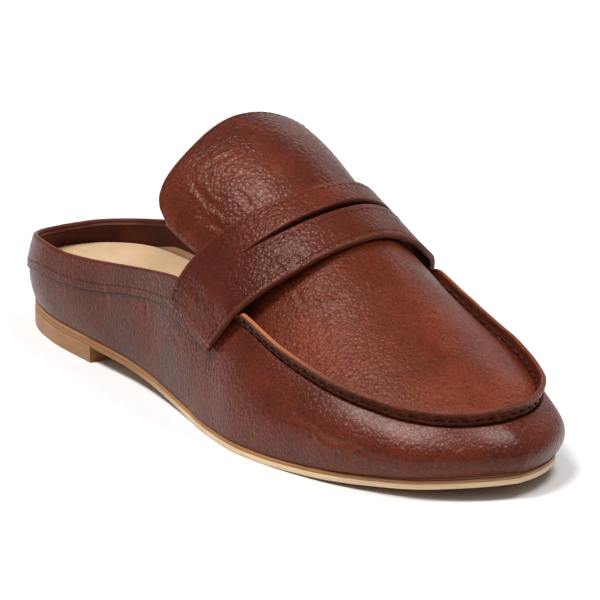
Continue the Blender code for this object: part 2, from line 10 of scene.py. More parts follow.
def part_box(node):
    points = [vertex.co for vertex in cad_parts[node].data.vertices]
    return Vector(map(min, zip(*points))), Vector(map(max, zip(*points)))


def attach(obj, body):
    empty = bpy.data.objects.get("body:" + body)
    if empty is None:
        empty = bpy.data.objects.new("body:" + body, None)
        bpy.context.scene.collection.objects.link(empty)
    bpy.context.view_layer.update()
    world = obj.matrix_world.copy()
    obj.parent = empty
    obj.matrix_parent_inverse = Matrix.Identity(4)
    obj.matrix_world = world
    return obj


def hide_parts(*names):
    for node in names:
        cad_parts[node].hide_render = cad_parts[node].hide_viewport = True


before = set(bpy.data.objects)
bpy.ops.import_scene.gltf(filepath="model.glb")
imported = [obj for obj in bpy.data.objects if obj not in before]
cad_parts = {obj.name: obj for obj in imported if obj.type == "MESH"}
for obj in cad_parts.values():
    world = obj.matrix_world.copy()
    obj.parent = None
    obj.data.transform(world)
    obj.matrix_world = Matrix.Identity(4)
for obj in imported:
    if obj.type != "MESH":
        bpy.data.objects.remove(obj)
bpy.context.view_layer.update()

# Metres and shares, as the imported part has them.
shoe = {
    "soleLength": 0.258,
    "ballWidth": 0.081,
    "instepHeight": 0.062,
    "heelHeight": 0.0056,
    "toeSpring": 0.0042,
    "soleThickness": 0.0031,
    "clearance": 0.0003,
    "halfStations": 300,
}

# Along the length, then the outer and the inner side as shares of the ball width.
solePlan = [
    (0.000, 0.000, 0.000), (0.004, -0.070, 0.070), (0.018, -0.140, 0.150), (0.056, -0.246, 0.262),
    (0.130, -0.325, 0.338), (0.233, -0.357, 0.345), (0.349, -0.373, 0.322), (0.426, -0.402, 0.310),
    (0.504, -0.449, 0.324), (0.581, -0.510, 0.376), (0.659, -0.545, 0.436), (0.717, -0.536, 0.457),
    (0.775, -0.507, 0.462), (0.833, -0.460, 0.452), (0.891, -0.379, 0.421), (0.938, -0.284, 0.375),
    (0.973, -0.146, 0.262), (0.992, -0.028, 0.155), (1.000, 0.062, 0.062),
]
# Station, share of the heel height, share of the toe spring.
soleProfile = [
    (0.00, 1.00, 0.00), (0.24, 0.93, 0.00), (0.31, 0.84, 0.00), (0.38, 0.62, 0.00),
    (0.46, 0.25, 0.00), (0.53, 0.02, 0.00), (0.56, 0.00, 0.00), (0.70, 0.00, 0.00),
    (0.73, 0.00, 0.02), (0.80, 0.00, 0.16), (0.90, 0.00, 0.52), (1.00, 0.00, 1.00),
]
# Upper edge of the wall: shares of the sole length, the ball width and the instep height.
outerTop = [
    (0.008, 0.000, 0.468), (0.018, -0.125, 0.478), (0.050, -0.228, 0.505), (0.105, -0.300, 0.535),
    (0.165, -0.328, 0.542), (0.235, -0.346, 0.575), (0.310, -0.358, 0.622), (0.384, -0.374, 0.671),
    (0.461, -0.403, 0.718), (0.540, -0.428, 0.728), (0.628, -0.437, 0.692), (0.720, -0.441, 0.598),
    (0.814, -0.406, 0.519), (0.868, -0.345, 0.480), (0.907, -0.283, 0.456), (0.945, -0.190, 0.446),
    (0.966, -0.090, 0.446), (0.976, 0.031, 0.449),
]
innerTop = [
    (0.008, 0.000, 0.468), (0.018, 0.140, 0.474), (0.052, 0.238, 0.492), (0.097, 0.290, 0.520),
    (0.155, 0.318, 0.560), (0.213, 0.333, 0.602), (0.267, 0.346, 0.645), (0.333, 0.372, 0.696),
    (0.399, 0.405, 0.742), (0.488, 0.455, 0.790), (0.562, 0.500, 0.796), (0.622, 0.512, 0.735),
    (0.716, 0.504, 0.624), (0.816, 0.478, 0.534), (0.880, 0.425, 0.485), (0.918, 0.365, 0.468),
    (0.951, 0.262, 0.452), (0.970, 0.146, 0.450), (0.976, 0.031, 0.449),
]
# Station, then bulge and power of the outer side, bulge and power of the inner side.
wallSwell = [
    (0.00, 0.85, 1.0, 0.85, 1.0), (0.12, 0.90, 1.0, 0.90, 1.0), (0.25, 0.80, 1.0, 1.30, 0.9),
    (0.35, 0.65, 1.1, 1.70, 0.8), (0.46, 0.50, 1.2, 1.90, 0.7), (0.58, 0.50, 1.1, 1.00, 0.9),
    (0.66, 0.75, 1.8, 0.95, 1.2), (0.75, 1.05, 2.2, 1.05, 1.8), (0.90, 1.40, 2.3, 1.40, 2.2),
    (1.00, 1.60, 2.3, 1.60, 2.3),
]
bandEdge = [
    (0.00, 0.46), (0.05, 0.49), (0.12, 0.58), (0.20, 0.60),
    (0.28, 0.64), (0.35, 0.70), (0.42, 0.73), (1.00, 0.74),
]
crest = [
    (0.380, 1.439), (0.410, 1.434), (0.453, 1.400), (0.500, 1.338), (0.539, 1.258),
    (0.575, 1.174), (0.620, 1.085), (0.672, 0.993), (0.717, 0.897), (0.775, 0.765),
    (0.833, 0.650), (0.891, 0.545), (0.938, 0.455), (0.976, 0.385),
]
fullness = [
    (0.38, 0.60, 0.48), (0.45, 0.62, 0.50), (0.50, 0.68, 0.56), (0.55, 0.82, 0.72),
    (0.62, 0.92, 0.80), (0.70, 0.95, 0.90), (1.00, 0.95, 0.95),
]
# Station, outer side and its height, inner side and its height.
shoulders = [
    (0.380, -0.370, 1.032, 0.450, 1.121), (0.403, -0.376, 0.997, 0.452, 1.077),
    (0.438, -0.378, 0.945, 0.450, 1.021), (0.488, -0.368, 0.869, 0.440, 0.942),
    (0.508, -0.366, 0.847, 0.436, 0.919), (0.600, -0.405, 0.690, 0.470, 0.740),
]
# Rear edge of the strap (along, across, height), then its front edge, from outer to inner hem.
strapTable = [
    (0.473, -0.443, 0.561, 0.579, -0.478, 0.452), (0.481, -0.440, 0.645, 0.599, -0.475, 0.565),
    (0.492, -0.418, 0.750, 0.619, -0.450, 0.671), (0.508, -0.370, 0.865, 0.633, -0.395, 0.752),
    (0.529, -0.309, 0.981, 0.646, -0.321, 0.828), (0.550, -0.228, 1.077, 0.659, -0.228, 0.900),
    (0.567, -0.117, 1.150, 0.668, -0.115, 0.968), (0.575, 0.012, 1.191, 0.672, 0.012, 1.008),
    (0.570, 0.136, 1.190, 0.663, 0.136, 1.005), (0.558, 0.247, 1.156, 0.649, 0.247, 0.965),
    (0.543, 0.346, 1.085, 0.641, 0.346, 0.905), (0.523, 0.415, 0.990, 0.630, 0.426, 0.829),
    (0.506, 0.455, 0.885, 0.614, 0.495, 0.745), (0.493, 0.470, 0.755, 0.600, 0.507, 0.613),
    (0.468, 0.464, 0.568, 0.583, 0.488, 0.477),
]
tongueEnd = [
    (-1.00, 0.432), (-0.98, 0.412), (-0.94, 0.404), (-0.85, 0.401), (-0.60, 0.402),
    (-0.30, 0.399), (0.00, 0.397), (0.30, 0.397), (0.60, 0.399), (0.85, 0.399),
    (0.94, 0.402), (0.98, 0.411), (1.00, 0.428),
]
# Station, share of the padding at the heel, share of the padding at the ball.
footbedTable = [
    (0.00, 0.92, 0.00), (0.08, 1.00, 0.00), (0.13, 0.92, 0.00), (0.18, 0.80, 0.00),
    (0.26, 0.58, 0.10), (0.45, 0.25, 0.50), (0.60, 0.00, 1.00), (1.00, 0.00, 0.85),
]


def tableValue(table, at, column=1):  # on a cubic that doesn't overshoot its rows
    xs = np.array([row[0] for row in table])
    ys = np.array([row[column] for row in table])
    steps = np.diff(xs)
    slopes = np.diff(ys) / steps
    before, after = steps[:-1], steps[1:]
    same = slopes[:-1] * slopes[1:] > 0
    first, second = np.where(same, slopes[:-1], 1), np.where(same, slopes[1:], 1)
    weighted = 3 * (before + after) / ((2 * after + before) / first + (after + 2 * before) / second)
    tangents = np.concatenate([slopes[:1], np.where(same, weighted, 0), slopes[-1:]])
    at = np.clip(at, xs[0], xs[-1])
    i = np.minimum(np.searchsorted(xs, at, side="right") - 1, len(xs) - 2)
    t = (at - xs[i]) / steps[i]
    low = ys[i] * (1 + 2 * t) * (1 - t) ** 2 + tangents[i] * steps[i] * t * (1 - t) ** 2
    high = ys[i + 1] * t * t * (3 - 2 * t) - tangents[i + 1] * steps[i] * t * t * (1 - t)
    return low + high


def ease(value, low, high):
    t = np.clip((np.asarray(value, float) - low) / (high - low), 0, 1)
    return t * t * (3 - 2 * t)


def curveThrough(points, samples=24):
    points = [np.array(p, float) for p in points]
    ends = [2 * points[0] - points[1]] + points + [2 * points[-1] - points[-2]]
    dense = []
    for p0, p1, p2, p3 in zip(ends, ends[1:], ends[2:], ends[3:]):
        t1 = math.sqrt(np.linalg.norm(p1 - p0))
        t2 = t1 + math.sqrt(np.linalg.norm(p2 - p1))
        t3 = t2 + math.sqrt(np.linalg.norm(p3 - p2))
        t = np.linspace(t1, t2, samples, endpoint=False)[:, None]
        a1 = (t1 - t) / t1 * p0 + t / t1 * p1
        a2 = (t2 - t) / (t2 - t1) * p1 + (t - t1) / (t2 - t1) * p2
        a3 = (t3 - t) / (t3 - t2) * p2 + (t - t2) / (t3 - t2) * p3
        b1 = (t2 - t) / t2 * a1 + t / t2 * a2
        b2 = (t3 - t) / (t3 - t1) * a2 + (t - t1) / (t3 - t1) * a3
        dense.append((t2 - t) / (t2 - t1) * b1 + (t - t1) / (t2 - t1) * b2)
    return np.concatenate(dense + [points[-1][None]])


def lengthShares(dense):
    lengths = np.concatenate([[0], np.cumsum(np.linalg.norm(np.diff(dense, axis=0), axis=1))])
    return lengths / lengths[-1]


def atShares(dense, shares):
    own = lengthShares(dense)
    return np.stack([np.interp(shares, own, column) for column in dense.T], axis=1)


def scaled(rows):
    return np.array(rows) * np.array([shoe["soleLength"], shoe["ballWidth"], shoe["instepHeight"]])


def unit(vectors):
    return vectors / np.maximum(np.linalg.norm(vectors, axis=-1, keepdims=True), 1e-12)


def gridNormals(grid):
    return unit(np.cross(np.gradient(grid, axis=0), np.gradient(grid, axis=1)))


def refined(grid, factor, axis):  # cubic between the rows of an even grid
    grid = np.moveaxis(grid, axis, 0)
    places = np.linspace(0, len(grid) - 1, (len(grid) - 1) * factor + 1)
    low = np.minimum(places.astype(int), len(grid) - 2)
    t = (places - low).reshape(-1, *[1] * (grid.ndim - 1))
    padded = np.concatenate([2 * grid[:1] - grid[1:2], grid, 2 * grid[-1:] - grid[-2:-1]])
    p0, p1, p2, p3 = (padded[low + n] for n in range(4))
    made = p1 + t / 2 * (p2 - p0 + t * (2 * p0 - 5 * p1 + 4 * p2 - p3 + t * (3 * (p1 - p2) + p3 - p0)))
    return np.moveaxis(made, 0, axis)


def picked(grid, places):  # the grid's value at a fractional row of each column
    low = np.clip(np.floor(places).astype(int), 0, len(grid) - 2)
    share = (places - low)[:, None]
    columns = np.arange(grid.shape[1])
    return grid[low, columns] * (1 - share) + grid[low + 1, columns] * share


def unevenness(points, size, seed):  # soft waves of about one size, between -1 and 1
    random = np.random.default_rng(seed)
    total = np.zeros(points.shape[:-1])
    for _ in range(7):
        direction = unit(random.normal(size=3)) * 2 * math.pi / (size * random.uniform(0.7, 1.5))
        total += np.sin(points @ direction + random.uniform(0, 2 * math.pi))
    return total / 4


def marked(points, normals, marks):
    # Each mark is a line through points of the shoe, a half width and a depth (up if negative).
    height = np.zeros(points.shape[:-1])
    pale = np.zeros(points.shape[:-1])
    for line, width, depth in marks:
        dense = curveThrough(line, 8)
        near = np.abs(points - dense.mean(axis=0)).max(axis=-1) < np.ptp(dense, axis=0).max() + 4 * width
        spots = points[near]
        best = np.full(len(spots), 1.0)
        place = np.zeros(len(spots))
        for n, (a, b) in enumerate(zip(dense, dense[1:])):
            t = np.clip((spots - a) @ (b - a) / max((b - a) @ (b - a), 1e-12), 0, 1)
            gap = np.linalg.norm(spots - a - t[:, None] * (b - a), axis=1)
            closer = gap < best
            best[closer] = gap[closer]
            place[closer] = (n + t[closer]) / (len(dense) - 1)
        fade = np.sin(math.pi * np.clip(place, 0.02, 0.98)) ** 0.6
        trough = np.exp(-((best / width) ** 2)) - 0.45 * np.exp(-(((best - 2.1 * width) / width) ** 2))
        height[near] -= depth * fade * trough
        pale[near] = np.maximum(pale[near], fade * np.exp(-((best / width) ** 2)))
    return points + normals * height[..., None], pale


# Stations run from the heel along the outer side to the toe, and back along the inner side.
half = shoe["halfStations"]
count = 2 * half
partner = (-np.arange(count)) % count


def soleRing():
    size = np.array([shoe["soleLength"], shoe["ballWidth"]])
    plan = np.array(solePlan)
    outer, inner = curveThrough(plan[:, [0, 1]] * size), curveThrough(plan[:, [0, 2]] * size)
    lateral = atShares(outer, np.linspace(0, 1, half + 1))
    order = np.argsort(inner[:, 0], kind="stable")
    medial = atShares(inner, np.interp(lateral[:, 0], inner[order, 0], lengthShares(inner)[order]))
    return np.concatenate([lateral, medial[-2:0:-1]])


def outwardOf(ring):
    tangents = np.roll(ring, -1, axis=0) - np.roll(ring, 1, axis=0)
    return unit(np.stack([tangents[:, 1], -tangents[:, 0]], axis=1))


def soleBottom(x):
    along = x / shoe["soleLength"]
    heel, toe = tableValue(soleProfile, along, 1), tableValue(soleProfile, along, 2)
    return heel * shoe["heelHeight"] + toe * shoe["toeSpring"]


ring = soleRing()
ringOut = outwardOf(ring)
station = ring[:, 0] / shoe["soleLength"]
medialHalf = np.concatenate([ring[half:], ring[:1]])[::-1]
topLateral = atShares(curveThrough(scaled(outerTop)), np.arange(half + 1) / half)
topMedial = atShares(curveThrough(scaled(innerTop)), lengthShares(medialHalf))
top = np.concatenate([topLateral, topMedial[-2:0:-1]])
topOut = outwardOf(top[:, :2])
topStation = top[:, 0] / shoe["soleLength"]
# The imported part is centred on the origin: its sole gives the shift.
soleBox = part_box("outsole")
middle = np.array([-soleBox[0].x, ring[:, 1].min() - soleBox[0].y, 0])
mending = {"weld": 2e-6, "sharpFrom": math.radians(48)}


def placed(name, data):
    obj = bpy.data.objects.new(name, data)
    bpy.context.scene.collection.objects.link(obj)
    return obj


def meshPiece(name, points, faces, finishes, slots=None, values=None):
    mesh = bpy.data.meshes.new(name)
    mesh.from_pydata((np.asarray(points) - middle).tolist(), [], [list(face) for face in faces])
    for finish in finishes:
        mesh.materials.append(finish)
    if slots is not None:
        mesh.polygons.foreach_set("material_index", np.asarray(slots, np.int32))
    for key, numbers in (values or {}).items():
        mesh.attributes.new(key, "FLOAT", "POINT").data.foreach_set("value", np.asarray(numbers, np.float32))
    welder = bmesh.new()
    welder.from_mesh(mesh)
    bmesh.ops.remove_doubles(welder, verts=welder.verts, dist=mending["weld"])
    welder.to_mesh(mesh)
    welder.free()
    mesh.shade_smooth()
    mesh.set_sharp_from_angle(angle=mending["sharpFrom"])
    print("made", name, len(mesh.polygons), "faces")
    return placed(name, mesh)


def ringFaces(rows, columns, wrapRows=False):
    here = np.arange(rows * columns).reshape(rows, columns)
    following = np.roll(here, -1, axis=1)
    above, aboveNext = np.roll(here, -1, axis=0), np.roll(following, -1, axis=0)
    last = rows if wrapRows else rows - 1
    return np.stack([here, following, aboveNext, above], axis=-1)[:last].reshape(-1, 4)


def cutLeather(name, grid, thickness, side, finishes, kept=None, bulge=0.0004, steps=6, values=None):
    # A cut piece of leather on a grid: outer face, rounded cut edges and flesh side.
    rows, columns, _ = grid.shape
    normals = gridNormals(grid)
    outer = grid + normals * (thickness if side > 0 else 0)
    inner = outer - normals * thickness
    number = np.arange(rows * columns).reshape(rows, columns)
    quads = np.stack([number[:-1, :-1], number[1:, :-1], number[1:, 1:], number[:-1, 1:]], axis=-1)
    quads = quads.reshape(-1, 4)
    quads = quads if kept is None else quads[kept]
    edges = np.concatenate([quads[:, [n, (n + 1) % 4]] for n in range(4)])
    known = set(map(tuple, edges.tolist()))
    rim = np.array([edge for edge in edges.tolist() if (edge[1], edge[0]) not in known])
    flatOuter, flatInner = outer.reshape(-1, 3), inner.reshape(-1, 3)
    flatNormals = normals.reshape(-1, 3)
    away = np.zeros_like(flatOuter)
    sideways = unit(np.cross(flatOuter[rim[:, 1]] - flatOuter[rim[:, 0]], flatNormals[rim[:, 0]]))
    np.add.at(away, rim[:, 0], sideways)
    np.add.at(away, rim[:, 1], sideways)
    away = unit(away)
    total = rows * columns
    points = [flatOuter, flatInner]
    faces = [quads, quads[:, ::-1] + total]
    slots = [np.zeros(len(quads)), np.full(len(quads), 2)]
    rimPoints = np.unique(rim)
    place = np.zeros(total, int)
    place[rimPoints] = np.arange(len(rimPoints))
    centre = (flatOuter + flatInner)[rimPoints] / 2
    levels = [rim]
    for step in range(1, steps):
        angle = math.pi * (0.5 - step / steps)
        out = bulge * math.cos(angle) ** 0.7
        up = thickness / 2 * math.sin(angle)
        points.append(centre + away[rimPoints] * out + flatNormals[rimPoints] * up)
        levels.append(2 * total + (step - 1) * len(rimPoints) + place[rim])
    levels.append(rim + total)
    for one, two in zip(levels, levels[1:]):
        faces.append(np.stack([one[:, 1], one[:, 0], two[:, 0], two[:, 1]], axis=-1))
        slots.append(np.ones(len(rim)))
    points, faces = np.concatenate(points), np.concatenate(faces)
    used = np.unique(faces)
    renumber = np.zeros(len(points), int)
    renumber[used] = np.arange(len(used))
    spread = {}
    for key, numbers in (values or {}).items():
        flat = np.asarray(numbers, float).reshape(-1)
        spread[key] = np.concatenate([flat, flat] + [flat[rimPoints]] * (steps - 1))[used]
    return meshPiece(name, points[used], renumber[faces], finishes, np.concatenate(slots), spread)


class Field:
    # A shader value that reckons as a number does.
    def __init__(self, tree, socket):
        self.tree = tree
        self.socket = socket

    def node(self, kind, settings, values, output=0):
        made = self.tree.nodes.new(kind)
        for key, value in settings.items():
            setattr(made, key, value)
        for key, value in values.items():
            if isinstance(value, Field):
                self.tree.links.new(value.socket, made.inputs[key])
            else:
                made.inputs[key].default_value = value
        return Field(self.tree, made.outputs[output])

    def maths(self, operation, *values):
        return self.node("ShaderNodeMath", {"operation": operation}, dict(enumerate(values)))

    def __add__(self, other):
        return self.maths("ADD", self, other)

    def __sub__(self, other):
        return self.maths("SUBTRACT", self, other)

    def __rsub__(self, other):
        return self.maths("SUBTRACT", other, self)

    def __mul__(self, other):
        return self.maths("MULTIPLY", self, other)

    __radd__ = __add__
    __rmul__ = __mul__

    def ramp(self, low, high, fromLow=0.0, fromHigh=1.0):
        values = {"Value": self, 1: low, 2: high, 3: fromLow, 4: fromHigh}
        return self.node("ShaderNodeMapRange", {"interpolation_type": "SMOOTHSTEP"}, values)

    def tones(self, one, two):  # from one colour to the other as the value goes from 0 to 1
        values = {0: self, 6: one, 7: two}
        return self.node("ShaderNodeMix", {"data_type": "RGBA"}, values, 2)


def rgb(red, green, blue):  # screen values as light
    return (*[((v / 255 + 0.055) / 1.055) ** 2.4 if v > 10 else v / 3295 for v in (red, green, blue)], 1)


def newFinish(name):
    made = bpy.data.materials.new(name)
    made.use_nodes = True
    tree = made.node_tree
    tree.nodes.clear()
    out = tree.nodes.new("ShaderNodeOutputMaterial")
    shader = tree.nodes.new("ShaderNodeBsdfPrincipled")
    tree.links.new(shader.outputs[0], out.inputs["Surface"])
    where = tree.nodes.new("ShaderNodeTexCoord")
    return made, shader, Field(tree, where.outputs["Object"])


def connect(shader, values):
    for key, value in values.items():
        if isinstance(value, Field):
            value.tree.links.new(value.socket, shader.inputs[key])
        else:
            shader.inputs[key].default_value = value


def shifted(where, size, reach):  # the place moved about by noise, so that cells grow uneven
    cloud = where.node("ShaderNodeTexNoise", {}, {"Vector": where, "Scale": 1 / size, "Detail": 2.0}, 1)
    centred = where.node("ShaderNodeVectorMath", {"operation": "SUBTRACT"}, {0: cloud, 1: (0.5, 0.5, 0.5)})
    values = {0: centred, 1: (reach, reach, reach), 2: where}
    return where.node("ShaderNodeVectorMath", {"operation": "MULTIPLY_ADD"}, values)


def noise(where, size, detail=3.0, rough=0.55):
    values = {"Vector": where, "Scale": 1 / size, "Detail": detail, "Roughness": rough}
    return where.node("ShaderNodeTexNoise", {}, values)


def grainedLeather(name, look):
    # Tumbled leather: pebbles with fine creases between them, finished with a thin gloss.
    made, shader, where = newFinish(name)
    pebble = look["pebble"]
    cells = {"Vector": shifted(where, pebble * 1.6, pebble * 0.9), "Scale": 1 / pebble}
    valley = 1 - where.node("ShaderNodeTexVoronoi", {"feature": "DISTANCE_TO_EDGE"}, cells).ramp(0.0, 0.18)
    dome = 1 - where.node("ShaderNodeTexVoronoi", {"feature": "SMOOTH_F1"}, dict(cells, Smoothness=0.6))
    broad = noise(where, pebble * 4)
    wrinkle = noise(where, pebble * 1.1, 4.0, 0.6)
    fine = noise(where, look["fine"], 3.0, 0.6)
    clouds = noise(where, look["cloud"])
    patches = noise(where, look["patch"], 4.0).ramp(0.5, 0.75)
    worn = where.node("ShaderNodeAttribute", {"attribute_name": "worn"}, {}, 2)
    tone = clouds.ramp(0.36, 0.64).tones(look["dark"], look["mid"])
    tone = (patches * look["patchy"] + worn).ramp(0.0, 1.0).tones(tone, look["light"])
    broken = wrinkle.ramp(0.35, 0.65)
    # The grain's creases are darkened towards the crease tone: painted shade.
    tone = (valley * broken * look["creaseShade"]).tones(tone, look["crease"])
    rough = look["rough"] + valley * 0.12 + (clouds - 0.5) * 0.22 + (fine - 0.5) * 0.1
    lines = {"Vector": shifted(where, 0.0030, 0.0034), "Scale": 1 / look["vein"]}
    veins = where.node("ShaderNodeTexVoronoi", {"feature": "DISTANCE_TO_EDGE"}, lines)
    vein = (1 - veins.ramp(0.0, 0.10)) * noise(where, 0.011, 2.0).ramp(0.46, 0.60)
    height = dome * 0.9 + wrinkle * 0.8 + broad * 0.8 - valley * broken * 0.25 - vein * 0.5
    coat = look["coat"]
    if "smoothFrom" in look:
        along = where.node("ShaderNodeSeparateXYZ", {}, {0: where})
        height = height * (along.ramp(look["smoothFrom"], look["smoothTo"]) * 0.65 + 0.35)
        coat = along.ramp(look["toeFrom"], look["toeTo"]) * look["toeGloss"]
    first = {"Height": height, "Strength": look["depth"], "Distance": look["relief"]}
    bump = where.node("ShaderNodeBump", {}, first)
    second = {"Height": fine, "Strength": 0.3, "Distance": look["fineRelief"], "Normal": bump}
    bump = where.node("ShaderNodeBump", {}, second)
    connect(shader, {"Base Color": tone, "Roughness": rough, "Normal": bump, "Coat Weight": coat,
                     "Coat Roughness": look["coatRough"], "Specular IOR Level": look["shine"],
                     "Specular Tint": look["tint"]})
    return made


def plainLeather(name, look):
    # Smooth leather, a sock or a lining: fine pores, soft blotches and worn places.
    made, shader, where = newFinish(name)
    clouds = noise(where, look["blotch"], 4.0)
    spots = {"Vector": shifted(where, 0.0015, 0.0008), "Scale": 1400.0}
    pores = where.node("ShaderNodeTexVoronoi", {}, spots)
    fine = noise(where, 0.0004, 4.0, 0.65)
    tone = clouds.ramp(0.35, 0.68).tones(look["dark"], look["light"])
    tone = (pores.ramp(0.0, 0.35) * 0.6 + 0.4).tones(look["pore"], tone)
    rough = look["rough"] + (clouds - 0.5) * 0.25 + (fine - 0.5) * 0.1
    height = {"Height": fine + pores.ramp(0.0, 0.4) * 0.6, "Strength": look["depth"], "Distance": 0.00012}
    bump = where.node("ShaderNodeBump", {}, height)
    connect(shader, {"Base Color": tone, "Roughness": rough, "Normal": bump,
                     "Specular IOR Level": look["shine"]})
    return made


def layeredLeather(name, look):
    # Cut and stacked leather seen from the side: fine lines that follow the ground.
    made, shader, where = newFinish(name)
    flat = {0: where, 1: (90.0, 90.0, 5200.0)}
    stretched = where.node("ShaderNodeVectorMath", {"operation": "MULTIPLY"}, flat)
    lines = where.node("ShaderNodeTexNoise", {}, {"Vector": stretched, "Scale": 1.0, "Detail": 4.0})
    clouds = noise(where, 0.02)
    fibre = noise(where, 0.0005, 4.0, 0.7)
    mixed = lines.ramp(0.3, 0.72) * 0.6 + clouds.ramp(0.35, 0.7) * 0.4
    tone = mixed.tones(look["dark"], look["light"])
    if "heelward" in look:
        along = where.node("ShaderNodeSeparateXYZ", {}, {0: where})
        tone = along.ramp(look["fadeFrom"], look["fadeTo"], 1.0, 0.0).tones(tone, look["heelward"])
    rough = look["rough"] + (lines - 0.5) * 0.3
    height = {"Height": lines + fibre * 0.5, "Strength": look["depth"], "Distance": 0.00015}
    bump = where.node("ShaderNodeBump", {}, height)
    connect(shader, {"Base Color": tone, "Roughness": rough, "Normal": bump, "Coat Weight": look["coat"],
                     "Specular IOR Level": look["shine"]})
    return made


# The crease tone and its weight paint shade into the grain's creases.
upperLook = {
    "pebble": 0.00165, "vein": 0.0058, "fine": 0.00028, "cloud": 0.034, "patch": 0.009, "patchy": 0.3,
    "depth": 0.9, "relief": 0.00024, "fineRelief": 0.00003, "rough": 0.29, "coat": 0.0, "coatRough": 0.3,
    "creaseShade": 0.7, "shine": 0.23, "tint": (1.0, 0.74, 0.64, 1.0),
    "dark": rgb(76, 27, 13), "mid": rgb(96, 36, 18), "light": rgb(126, 59, 32), "crease": rgb(42, 14, 8),
}
upperFinish = grainedLeather("tumbled brown leather", upperLook)
# The wall is smoother at the heel and glossier at the toe.
wallFinish = grainedLeather("calmer brown leather", dict(
    upperLook, pebble=0.00135, creaseShade=0.75, shine=0.2, smoothFrom=-0.07, smoothTo=0.02,
    toeFrom=0.035, toeTo=0.085, toeGloss=0.17))
strapFinish = grainedLeather("strap leather", dict(
    upperLook, pebble=0.00140, shine=0.19,
    dark=rgb(73, 25, 11), mid=rgb(91, 33, 15), light=rgb(118, 54, 29)))
apronFinish = grainedLeather("fine brown leather", dict(
    upperLook, pebble=0.00130, depth=0.7, creaseShade=0.75, rough=0.34, shine=0.16,
    dark=rgb(90, 34, 17), mid=rgb(112, 45, 23), light=rgb(134, 64, 35)))
# A darker copy of the upper leather for the raised seam: painted shade on its flanks.
seamShadeFinish = grainedLeather("seam leather with painted shade", dict(
    upperLook, pebble=0.00130, dark=rgb(62, 23, 12), mid=rgb(82, 31, 16), light=rgb(104, 47, 26)))

edgeLook = {"rough": 0.5, "depth": 0.3, "coat": 0.0, "shine": 0.25}
# The band's cut edge, made darker than a cut edge to paint the shadow under the band's lip.
bandShadowFinish = layeredLeather("band edge with painted shadow", dict(
    edgeLook, dark=rgb(34, 13, 8), light=rgb(54, 22, 13), rough=0.6, depth=0.4, shine=0.1))
cutFinish = layeredLeather("brown cut edge", dict(
    edgeLook, dark=rgb(68, 28, 17), light=rgb(112, 54, 33), depth=0.5, shine=0.15))
# Two edges turn from one tone to another along the shoe.
rawFinish = layeredLeather("raw seam edge", dict(
    edgeLook, dark=rgb(82, 36, 20), light=rgb(112, 54, 32), depth=0.7, shine=0.2,
    heelward=rgb(164, 102, 60), fadeFrom=0.045, fadeTo=0.085))
# Pale lower band of the sole edge: painted light bounced up from the floor, turning to tan towards the heel.
floorLightEdgeFinish = layeredLeather("sole edge with painted floor light", dict(
    edgeLook, dark=rgb(212, 178, 138), light=rgb(238, 212, 176),
    heelward=rgb(150, 102, 60), fadeFrom=-0.045, fadeTo=0.01))
soleEdgeFinish = layeredLeather("tan sole edge", dict(
    edgeLook, dark=rgb(136, 88, 50), light=rgb(174, 124, 76), rough=0.45, depth=0.4, coat=0.05))
heelFinish = layeredLeather("stacked heel leather", dict(
    edgeLook, dark=rgb(134, 88, 50), light=rgb(172, 122, 76), rough=0.45, coat=0.05))

sockLook = {"blotch": 0.03, "rough": 0.55, "depth": 0.3, "shine": 0.25}
sockFinish = plainLeather("cream sock leather", dict(
    sockLook, dark=rgb(182, 148, 112), light=rgb(204, 173, 138), pore=rgb(156, 120, 86)))
liningFinish = plainLeather("dark brown lining", dict(
    sockLook, dark=rgb(66, 27, 16), light=rgb(94, 42, 27), pore=rgb(44, 17, 10),
    blotch=0.02, depth=0.45, shine=0.15))
underFinish = plainLeather("tan sole leather", dict(
    sockLook, dark=rgb(150, 104, 66), light=rgb(184, 138, 96), pore=rgb(116, 76, 46),
    blotch=0.025, rough=0.5))

threadLook = {"blotch": 0.002, "rough": 0.6, "depth": 0.4, "shine": 0.15}
threadFinish = plainLeather("dark brown thread", dict(
    threadLook, dark=rgb(54, 22, 13), light=rgb(80, 36, 22), pore=rgb(38, 15, 9)))
fineThreadFinish = plainLeather("brown thread", dict(
    threadLook, dark=rgb(46, 18, 11), light=rgb(68, 29, 18), pore=rgb(36, 14, 8)))
paleThreadFinish = plainLeather("light brown thread", dict(
    threadLook, dark=rgb(128, 78, 54), light=rgb(160, 106, 78), pore=rgb(100, 56, 38)))
leatherSet = [upperFinish, cutFinish, liningFinish]  # outer face, cut edge, flesh side
print("made the finishes")


# Wall: quarters, counter band and side of the vamp, in one closed ring of rows.
wall = {
    "thickness": 0.0020, "overhang": 0.0026, "bandStep": 0.0008, "bandFrom": 0.52, "bandFade": 0.03,
    "rimSinksFrom": 0.492, "rimSinksTo": 0.545, "rimHeight": 0.0009, "rowsBelow": 34, "rowsAbove": 26,
    "lip": 0.0004, "rimSteps": 8, "innerRows": 14, "sockRows": 6, "turnUp": 0.0026, "turnFrom": 0.020,
    "turnTo": 0.032, "turnUnderRim": 0.06, "innerReach": 0.97, "bulgePower": 0.85, "unevenness": 0.00022,
    "wave": 0.03, "rimWear": 0.25, "markWear": 0.5,
}
seam = {"height": 0.0042, "width": 0.0024, "lean": math.radians(24), "start": 0.600, "full": 0.634,
        "scallop": 0.00045, "pitch": 0.0043, "ahead": 0.004, "edgeWidth": 0.001, "unevenness": 0.00012,
        "wave": 0.012, "rawFrom": 0.86}

